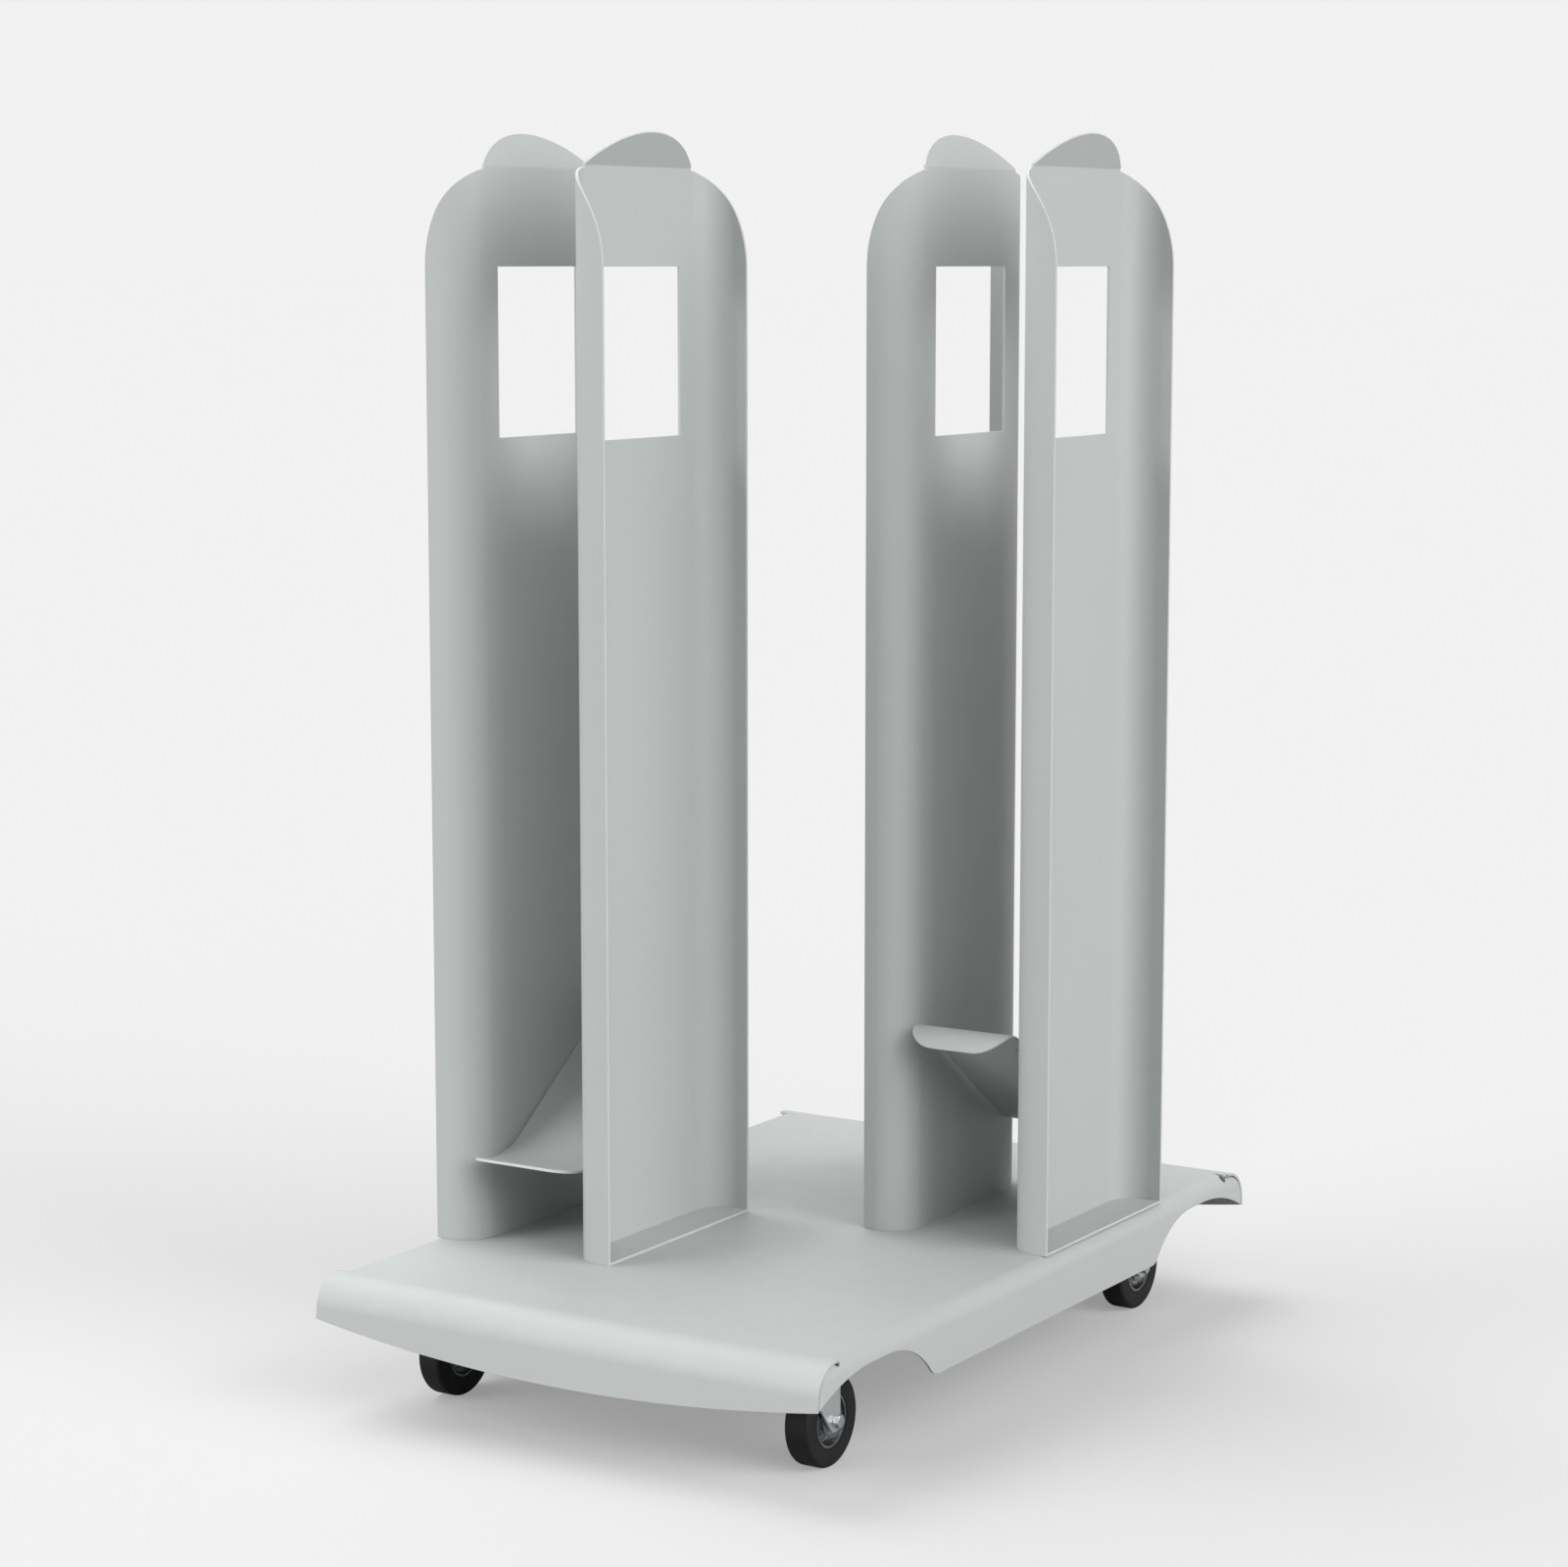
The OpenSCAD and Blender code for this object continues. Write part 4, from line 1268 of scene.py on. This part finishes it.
    def crossmembers(self) -> None:
        """Builds the two crossmembers, with the holes for the casters."""
        half_t, radius = self.sheet.thickness / 2, self.cross_bend_r - self.sheet.thickness / 2
        wall = self.cross[0] / 2 - half_t
        flange = self.cross_flange + half_t - radius
        side = self.cross[1] - 2 * half_t - 2 * radius
        path = Path((-wall - self.cross_flange - half_t, DECK_Z - self.sheet.thickness - half_t), 0)
        path.straight(flange).turn(radius, -90).straight(side).turn(radius, 90)
        path.straight(2 * (wall - radius)).turn(radius, 90).straight(side)
        path.turn(radius, -90).straight(flange)
        end = self.cross_l / 2
        outline = [(0.0, -end), (path.length, -end), (path.length, end), (0.0, end)]
        over_x = self.beyond[0]
        lines = [((s, -over_x), (s, over_x)) for s in path.bend_lines(15)]
        mid = path.length / 2
        holes = []
        for x in (-self.caster_x, self.caster_x):
            holes.append(circle(mid, x, self.nut_hole_r, 48))
            corners = four((mid, x), self.bolt_spread[1], self.bolt_spread[0])
            holes += [circle(*spot, self.hole_r) for spot in corners]
        for name, sign in (("front", -1), ("back", 1)):
            def bent(s: float, x: float, w: float, y0: float = sign * self.cross_y) -> Vector:
                """Lays a point of the blank on the hat section."""
                spot = path.beside(s, w)
                return Vector((x, y0 + spot.x, spot.y))

            solid = self.sheet.solid([(Blank(outline, holes, lines), bent)])
            beam = named(solid, f"{name}_crossmember_sheet")
            dress(beam, POWDER, CART, [f"{name}_crossmember"], POWDER_PAINTED_HIGHLIGHT)


@dataclass
class Fasteners:
    """Studs, bolts, nuts and washers, each kind set out by one geometry tree."""

    radius: float = 4.0
    flats: float = 13.0
    height: float = 6.5
    washer: Triple = (8.0, 1.6, 0.5)
    stud_l: float = 16.0
    bolt_l: float = 16.0
    plain_l: float = 4.0
    plate_z: Flat = (126.0, 130.0)
    kingpin: Flat = (6.05, 19.0)
    kingpin_nut_h: float = 8.0
    cross_t: float = 3.0
    deck_t: float = 3.0

    def _set_out(self, name: str, pattern: Solid, places: Sequence[Flat],
                 nodes: Sequence[str]) -> None:
        """Puts a copy of a fastener at each place.

        Args:
            name: Name of the piece.
            pattern: The fastener at its height, about the Z axis.
            places: Places across and along the cart.
            nodes: Nodes that the piece stands for.
        """
        tree = Tree(f"set_out_{name}", {"Scale": 1.0})
        source = tree.node("GeometryNodeObjectInfo", Object=tree.entry.outputs["Pattern"])
        copies = tree.node("GeometryNodeInstanceOnPoints", Points=tree.entry.outputs["Geometry"],
                           Instance=source.outputs["Geometry"], Scale=tree.size("Scale").socket)
        tree.end(copies.outputs[0])
        base = bmesh.new()
        for x, y in places:
            base.verts.new((x, y, 0))
        thing = named(base, name)
        shape = named(pattern, name + "_pattern")
        tree.shape(thing, ZINC, pattern=shape)
        bpy.data.objects.remove(shape)
        dress(thing, ZINC, CART, nodes)

    def under_feet(self, places: Sequence[Flat]) -> None:
        """Builds the studs, washers and nuts that hold the feet.

        Args:
            places: Places of the studs.
        """
        under, low, r = DECK_Z - self.deck_t, DECK_Z - self.stud_l, self.radius
        stud = [(0.0, low), (r - CHAMFER, low)] + threaded(r, low + CHAMFER, under - 1)
        stud += [(r, under), (r, DECK_Z), (0.0, DECK_Z)]
        self._set_out("stud_set", lathe(stud, 24), places, ["foot_studs"])
        outer, thick, play = self.washer
        seat = under - thick
        ring = [(r + play, seat), (outer, seat), (outer, under), (r + play, under)]
        self._set_out("washer_set", lathe(ring, 36, soften=0.3), places, ["foot_washers"])
        nut = hexagon(self.flats, self.height, r + FIT, seat - self.height)
        self._set_out("foot_nut_set", nut, places, ["foot_nuts"])

    def at_plates(self, holes: Sequence[Flat], pivots: Sequence[Flat]) -> None:
        """Builds the bolts and nuts that hold the casters.

        Args:
            holes: Places of the plates' bolt holes.
            pivots: Places of the kingpins.
        """
        low, high = self.plate_z
        r, plain, end = self.radius, low + self.plain_l, low + self.bolt_l
        shank = [(0.0, low - 1), (r, low - 1), (r, low), (r, plain)]
        shank += threaded(r, plain + 1, end - CHAMFER) + [(r - CHAMFER, end), (0.0, end)]
        head = hexagon(self.flats, self.height, 0, low - self.height)
        self._set_out("caster_bolt_set", joined(head, lathe(shank, 24)), holes, ["caster_bolts"])
        nut = hexagon(self.flats, self.height, r + FIT, high + self.cross_t)
        self._set_out("weld_nut_set", nut, holes, ["weld_nuts"])
        nut = hexagon(self.kingpin[1], self.kingpin_nut_h, self.kingpin[0], high)
        self._set_out("kingpin_nut_set", nut, pivots, ["kingpin_nuts"])


@dataclass
class Caster:
    """One swivel caster, drawn for the back right corner about its pivot."""

    corner: Corner
    place: Flat = (234.5, 385.0)
    trail: float = 35.5
    axle_z: float = 50.0
    wheel_w: float = 29.0
    crown: Flat = (103.0, 106.0)
    crown_trim: float = 1.2
    fork_in: float = 15.5
    fork_r: float = 5.0
    leg_back: float = 9.0
    tip_r: float = 12.0
    leg_lean: float = 38.0
    plate: Quad = (105.0, 85.0, 4.0, 10.0)
    plate_low: float = 126.0
    holes: Flat = (80.0, 60.0)
    hole_r: float = 4.5
    race: Flat = (17.0, 30.0)
    race_step: float = 3.0
    cup: Flat = (31.5, 34.5)
    cup_gap: float = 4.5
    ball_z: float = 116.0
    ball_circle: float = 23.5
    ball_r: float = 3.4
    ball_clear: float = 0.3
    balls_n: int = 18
    kingpin_r: float = 6.0
    kingpin_head: Triple = (11.0, 5.0, 3.0)
    kingpin_above: float = 9.0
    sleeve_r: float = 6.0
    bearing: Flat = (14.0, 8.0)
    recess: float = 0.8
    hub: Flat = (18.0, 10.0)
    rim: Quad = (29.5, 3.0, 6.0, 27.0)
    rim_draft: Flat = (0.4, 0.2)
    rim_fillet: Flat = (2.5, 3.0)
    bead: Quad = (2.0, 5.0, 6.0, 0.3)
    shoulder_r: float = 5.0
    bolt_r: float = 4.0
    flats: float = 13.0
    hex_h: float = 6.5

    @property
    def pivot(self) -> Flat:
        """Place of the kingpin across and along the cart."""
        return self.corner.value[0] * self.place[0], self.corner.value[1] * self.place[1]

    @property
    def bolts(self) -> list[Flat]:
        """Places of the four bolts across and along the cart."""
        return four(self.pivot, *self.holes)

    @property
    def frame(self) -> Matrix:
        """Matrix from the caster's own frame to the cart's, in millimetres."""
        sx, sy = self.corner.value
        return Matrix.Diagonal((sx, sy, 1, 1)) @ Matrix.Translation((*self.place, 0))

    @property
    def axle(self) -> Matrix:
        """Matrix from a frame about the axle, its Z pointing out of the cart, to the cart's."""
        spot = Matrix.Translation((0, -self.trail, self.axle_z))
        return self.frame @ spot @ Matrix.Rotation(math.pi / 2, 4, "Y")

    @property
    def hub_spot(self) -> Triple:
        """Middle of the wheel in metres."""
        return tuple(c * MM for c in self.axle.translation)

    def _part(self, kind: str, bm: Solid, place: Matrix, finish: Finish) -> None:
        """Makes and dresses one of the caster's pieces, named after its node.

        Args:
            kind: Name of the node after the corner's.
            bm: The solid, which is used up.
            place: Matrix to the cart's frame.
            finish: Finish of the piece.
        """
        key = self.corner.key
        body = {**dict.fromkeys(("fork", "axle_bolt", "axle_nut", "sleeve"), "_swivel"),
                **dict.fromkeys(("bearings", "rim", "tyre"), "_wheel")}.get(kind)
        piece = named(bm, f"{key}_{kind}_piece", place)
        edge = finish if CUT_EDGE in piece.data.attributes else None
        dress(piece, finish, key + body if body else CART, [f"{key}_{kind}"], edge)

    def build(self) -> None:
        """Builds the whole caster from the plate down to the tyre."""
        self._plate()
        self._balls()
        self._pin()
        self._fork()
        self._axle()
        self._wheel()

    @property
    def split(self) -> float:
        """Distance from the balls' middle to the face of each race."""
        return 3 * self.ball_clear

    def _groove(self, sign: int) -> list[Flat]:
        """Draws the ball groove in the face of a race.

        Args:
            sign: 1 for the upper race, or -1 for the lower one.

        Returns:
            Its points, from the outer edge inwards.
        """
        radius = self.ball_r + self.ball_clear
        angle = math.degrees(math.asin(self.split / radius))
        return arc((self.ball_circle, self.ball_z), radius, sign * angle, sign * (180 - angle), 10)

    def _plate(self) -> None:
        """Builds the mounting plate with its race and dust cup."""
        wide, deep, thick, corner_r = self.plate
        half = []
        for sy, angles in ((-1, (-90, 0)), (1, (0, 90))):
            half += arc((wide / 2 - corner_r, sy * (deep / 2 - corner_r)), corner_r, *angles, 8)
        outline = half + flipped(half, True)
        holes = [circle(*spot, self.hole_r) for spot in four((0, 0), *self.holes)]
        holes.append(circle(0, 0, self.kingpin_r + FIT, 32))
        middle = self.plate_low + thick / 2
        flat = Blank(outline, holes)
        plate = Sheet(thick, rounding=0.5).solid([(flat, lambda x, y, w: Vector((x, y, middle + w)))])
        top, split, low = self.plate_low, self.ball_z + self.split, self.crown[1] + self.cup_gap
        (race_in, race_out), (cup_in, cup_out) = self.race, self.cup
        race = [(race_in, split), (race_in, top), (race_out, top), (race_out, split)]
        cup = [(cup_in, low), (cup_out, low), (cup_out, top), (cup_in, top)]
        solid = joined(plate, lathe(race + self._groove(1)), lathe(cup, soften=0.6))
        self._part("plate", solid, self.frame, PRESSED)

    def _balls(self) -> None:
        """Builds the ring of balls with a geometry tree."""
        key = self.corner.key
        tree = Tree(f"ball_ring_{key}", {"Circle radius": self.ball_circle * MM,
                                         "Ball radius": self.ball_r * MM})
        ring = tree.node("GeometryNodeMeshCircle", Vertices=self.balls_n,
                         Radius=tree.size("Circle radius").socket)
        ball = tree.node("GeometryNodeMeshIcoSphere", Radius=tree.size("Ball radius").socket,
                         Subdivisions=3)
        copies = tree.node("GeometryNodeInstanceOnPoints", Points=ring.outputs[0],
                           Instance=ball.outputs[0])
        smooth = tree.node("GeometryNodeSetShadeSmooth", Geometry=copies.outputs[0],
                           Shade_Smooth=True)
        tree.end(smooth.outputs[0])
        thing = named(bmesh.new(), f"{key}_balls_piece")
        tree.shape(thing, GROUND)
        spot = self.frame.translation
        thing.data.transform(Matrix.Translation((spot.x * MM, spot.y * MM, self.ball_z * MM)))
        dress(thing, GROUND, CART, [f"{key}_balls"])

    def _pin(self) -> None:
        """Builds the kingpin with its riveted head and threaded end."""
        low, seat = self.crown[0] - self.ball_clear, self.plate_low + self.plate[2]
        top, r = seat + self.kingpin_above, self.kingpin_r
        head_r, head_h, round_r = self.kingpin_head
        profile = [(0.0, low - head_h)]
        profile += arc((head_r - round_r, low - head_h + round_r), round_r, -90, 0, 6)
        profile += [(head_r, low), (r, low), (r, seat)] + threaded(r, seat + 0.5, top - 1)
        profile += [(r - 1, top), (0.0, top)]
        self._part("kingpin", lathe(profile, 48), self.frame, ZINC)

    def _fork(self) -> None:
        """Builds the fork's bent sheet with the lower race on its crown."""
        sheet = Sheet(self.crown[1] - self.crown[0], rounding=0.4)
        half_t = sheet.thickness / 2
        radius, leg_x = self.fork_r - half_t, self.fork_in + half_t
        bottom = self.axle_z - self.tip_r
        wall = self.crown[1] - self.fork_r - bottom
        path = Path((-leg_x, bottom), 90).straight(wall).turn(radius, -90)
        path.straight(2 * (leg_x - radius)).turn(radius, -90).straight(wall)
        lean = math.radians(self.leg_lean)
        toe = (self.tip_r * math.cos(lean) - self.trail, self.axle_z - self.tip_r * math.sin(lean))
        back = -self.trail - self.leg_back
        side = [(back, self.crown[0])]
        tip = math.degrees(math.acos(-self.leg_back / self.tip_r))
        side += arc((-self.trail, self.axle_z), self.tip_r, -tip, -self.leg_lean, 16)
        reach = toe[0] + (self.crown[1] - toe[1]) * math.tan(lean)
        bend = self.crown[1] - self.fork_r - toe[1]
        side += [(toe[0] + bend * math.tan(lean), toe[1] + bend)]
        left = [(z - bottom, y) for y, z in side]
        left[0] = (wall, back)
        for i in range(1, 5):
            z = self.crown[1] - radius * (1 - math.sin(math.pi / 2 * i / 4)) - half_t
            left.append((wall + radius * math.pi / 2 * i / 4, toe[0] + (z - toe[1]) * math.tan(lean)))
        left[-1] = (left[-1][0], reach - self.crown_trim)
        right = [(path.length - s, y) for s, y in reversed(left)]
        lines = [((s, -80.0), (s, 80.0)) for s in path.bend_lines(15)]
        mid = path.length / 2
        holes = [circle(mid, 0, self.kingpin_r + FIT, 32)]
        axle_s = self.axle_z - bottom
        holes += [circle(s, -self.trail, self.bolt_r + FIT, 24) for s in (axle_s, path.length - axle_s)]

        def bent(s: float, y: float, w: float) -> Vector:
            """Lays a point of the blank on the fork's path."""
            spot = path.beside(s, w)
            return Vector((spot.x, y, spot.y))

        fork = sheet.solid([(Blank(left + right, holes, lines), bent)])
        (race_in, race_out), cup_out = self.race, self.cup[1]
        seat, step, split = self.crown[1], self.crown[1] + self.race_step, self.ball_z - self.split
        race = [(race_out, split), (race_out, step), (cup_out, step), (cup_out, seat), (race_in, seat),
                (race_in, split)]
        solid = joined(fork, lathe(race + self._groove(-1)[::-1]))
        self._part("fork", solid, self.frame, PRESSED)

    def _axle(self) -> None:
        """Builds the axle bolt, its nut and the sleeve."""
        out = self.fork_in + self.crown[1] - self.crown[0]
        end = out + self.hex_h + 1
        r = self.bolt_r
        shank = [(0.0, -end), (r - CHAMFER, -end)] + threaded(r, CHAMFER - end, -out + 1)
        shank += [(r, -out + 2), (r, out + 1), (0.0, out + 1)]
        head = hexagon(self.flats, self.hex_h, 0, out)
        self._part("axle_bolt", joined(head, lathe(shank, 32)), self.axle, ZINC)
        nut = hexagon(self.flats, self.hex_h, r + FIT, -out - self.hex_h)
        self._part("axle_nut", nut, self.axle, ZINC)
        half = self.fork_in - FIT
        sleeve = [(r + FIT, -half), (self.sleeve_r, -half), (self.sleeve_r, half), (r + FIT, half)]
        self._part("sleeve", lathe(sleeve, 48, soften=0.3), self.axle, GROUND)

    def _wheel(self) -> None:
        """Builds the bearings, the rim and the tyre."""
        half = self.wheel_w / 2
        outer, deep = self.bearing
        step = (outer - self.sleeve_r) / 4
        inner, shield, cap = self.sleeve_r + FIT, self.sleeve_r + step, outer - step
        sides = []
        for sign in (1, -1):
            low, high = sign * (half - deep), sign * half
            face = high - sign * self.recess
            ring = [(inner, low), (outer, low), (outer, high), (cap, high), (cap, face),
                    (shield, face), (shield, high), (inner, high)]
            sides.append(lathe(ring, soften=0.25))
        self._part("bearings", joined(*sides), self.axle, GROUND)
        rim_r, band, disc, wide = self.rim
        hub_r, bore_r = self.hub
        bed, disc, wide = rim_r - band, disc / 2, wide / 2
        seat = half - deep
        (hub_draft, bed_draft), (hub_foot, foot) = self.rim_draft, self.rim_fillet
        upper = [(outer, half), (hub_r, half), (hub_r - hub_draft, disc + foot),
                 (hub_r + hub_foot, disc), (bed - foot, disc), (bed - bed_draft, disc + foot),
                 (bed, wide), (rim_r, wide)]
        outline = [(outer, seat)] + upper + flipped(upper)
        outline += [(outer, -seat), (bore_r, -seat), (bore_r, seat)]
        # The rim's metal colour is darkened to paint the shade and dark reflection inside the wheel's
        # recess.
        polished = Finish(f"polished_rim_{self.corner.key}", (0.34, 0.35, 0.36), 0.2, metallic=1.0,
                          tone=0.03, tone_scale=30, rough_spread=0.03, grain=900,
                          grain_depth=0.004, rings=420, centre=self.hub_spot)
        self._part("rim", lathe(outline, 96, soften=0.5), self.axle, polished)
        tread, bevel = self.axle_z, self.shoulder_r
        dip, rise, far, deep = self.bead
        side = [(rim_r, half), (rim_r + dip, half - deep), (rim_r + rise, half - deep),
                (rim_r + far, half)]
        side += [(r, z) for z, r in arc((half - bevel, tread - bevel), bevel, 0, 90, 8)]
        profile = side + [(tread, 0.0)] + flipped(side)
        rubber = Finish(f"tyre_rubber_{self.corner.key}", (0.007, 0.007, 0.0075), 0.6, tone=0.25,
                        tone_scale=45, grain=1400, grain_depth=0.05, shine=0.25, rings=160,
                        centre=self.hub_spot)
        self._part("tyre", lathe(profile, 128, soften=0.5), self.axle, rubber)


@dataclass(frozen=True)
class Lamp:
    """One wide, distant lamp; at level 1 a white sheet that faces it renders white."""

    name: str
    level: float
    width: float
    azimuth: float
    height: float

    def hang(self) -> None:
        """Adds the lamp to the scene, aimed at the cart."""
        data = bpy.data.lights.new(self.name, "SUN")
        data.energy = math.pi * self.level
        data.angle = math.radians(self.width)
        light = linked(self.name, data)
        light.rotation_euler = (math.radians(90 - self.height), 0, math.radians(self.azimuth + 90))


@dataclass
class Studio:
    """Floor, light and camera of the picture."""

    spot: Triple = (2.18223, -3.52680, 1.23031)
    tilt: float = 82.047
    turn: float = 32.088
    lens: float = 85.92
    paper: Triple = (0.885, 0.885, 0.885)
    floor_tone: float = 0.625
    floor_bounce: float = 0.45
    glow_share: float = 0.3
    dome: float = 0.11
    lamps: tuple[Lamp, ...] = (
        Lamp("left_lamp", 0.42, 40.0, azimuth=180.0, height=55.0),
        Lamp("back_left_lamp", 0.25, 40.0, azimuth=135.0, height=55.0),
        Lamp("front_left_lamp", 0.67, 40.0, azimuth=-130.0, height=22.0),
        Lamp("front_right_lamp", 0.3, 45.0, azimuth=-45.0, height=42.0),
        Lamp("right_lamp", 0.74, 45.0, azimuth=0.0, height=24.0))

    def camera(self) -> None:
        """Sets the camera at the picture's viewpoint."""
        data = bpy.data.cameras.new("camera")
        data.lens = self.lens
        data.sensor_width = 36
        data.sensor_fit = "HORIZONTAL"
        data.clip_end = 500
        camera = linked("camera", data)
        camera.location = self.spot
        camera.rotation_euler = (math.radians(self.tilt), 0, math.radians(self.turn))
        bpy.context.scene.camera = camera

    def floor(self) -> None:
        """Lays the pale floor, wide enough to reach the horizon."""
        bm = bmesh.new()
        bmesh.ops.create_grid(bm, x_segments=8, y_segments=8, size=200)
        mesh = bpy.data.meshes.new("floor")
        bm.to_mesh(mesh)
        bm.free()
        floor = linked("floor", mesh)
        made = bpy.data.materials.new("floor_paper")
        made.use_nodes = True
        tree = made.node_tree
        tree.nodes.remove(tree.nodes["Principled BSDF"])
        seen, bounce = (add_node(tree, "ShaderNodeBsdfDiffuse", Color=(tone, tone, tone, 1)).outputs[0]
                        for tone in (self.floor_tone, self.floor_bounce))
        glow = add_node(tree, "ShaderNodeEmission", Color=(*self.paper, 1)).outputs[0]
        direct = add_node(tree, "ShaderNodeLightPath").outputs["Is Camera Ray"]
        surface = mixed(tree, direct, bounce, mixed(tree, self.glow_share, seen, glow))
        plug(tree, tree.nodes["Material Output"], Surface=surface)
        mesh.materials.append(made)

    def light(self) -> None:
        """Lights the cart with an even dome and five wide lamps, before the floor's own colour."""
        scene = bpy.context.scene
        scene.view_settings.view_transform = "Standard"
        scene.world = bpy.data.worlds.new("studio")
        scene.world.use_nodes = True
        tree = scene.world.node_tree
        glow = tree.nodes["Background"]
        plug(tree, glow, Color=(1, 1, 1, 1), Strength=self.dome)
        seen = add_node(tree, "ShaderNodeBackground", Color=(*self.paper, 1))
        rays = add_node(tree, "ShaderNodeLightPath").outputs
        direct = Field(tree, rays["Is Camera Ray"])
        for kind in ("Is Glossy Ray", "Is Transmission Ray"):
            direct = direct.math("MAXIMUM", Field(tree, rays[kind]))
        plug(tree, tree.nodes["World Output"],
             Surface=mixed(tree, direct.socket, glow.outputs[0], seen.outputs[0]))
        for lamp in self.lamps:
            lamp.hang()


def main() -> None:
    """Builds the cart's pieces in order, then the studio."""
    logging.basicConfig(level=logging.INFO, format="%(name)s: %(message)s")
    towers = Towers()
    platform = Platform(stud_places=towers.studs)
    platform.deck()
    platform.crossmembers()
    towers.columns()
    towers.feet()
    towers.cradles()
    casters = [Caster(corner) for corner in Corner]
    fasteners = Fasteners()
    fasteners.under_feet(towers.studs)
    bolts = [spot for caster in casters for spot in caster.bolts]
    fasteners.at_plates(bolts, [caster.pivot for caster in casters])
    for caster in casters:
        caster.build()
    studio = Studio()
    studio.floor()
    studio.light()
    studio.camera()


if __name__ == "__main__":
    main()
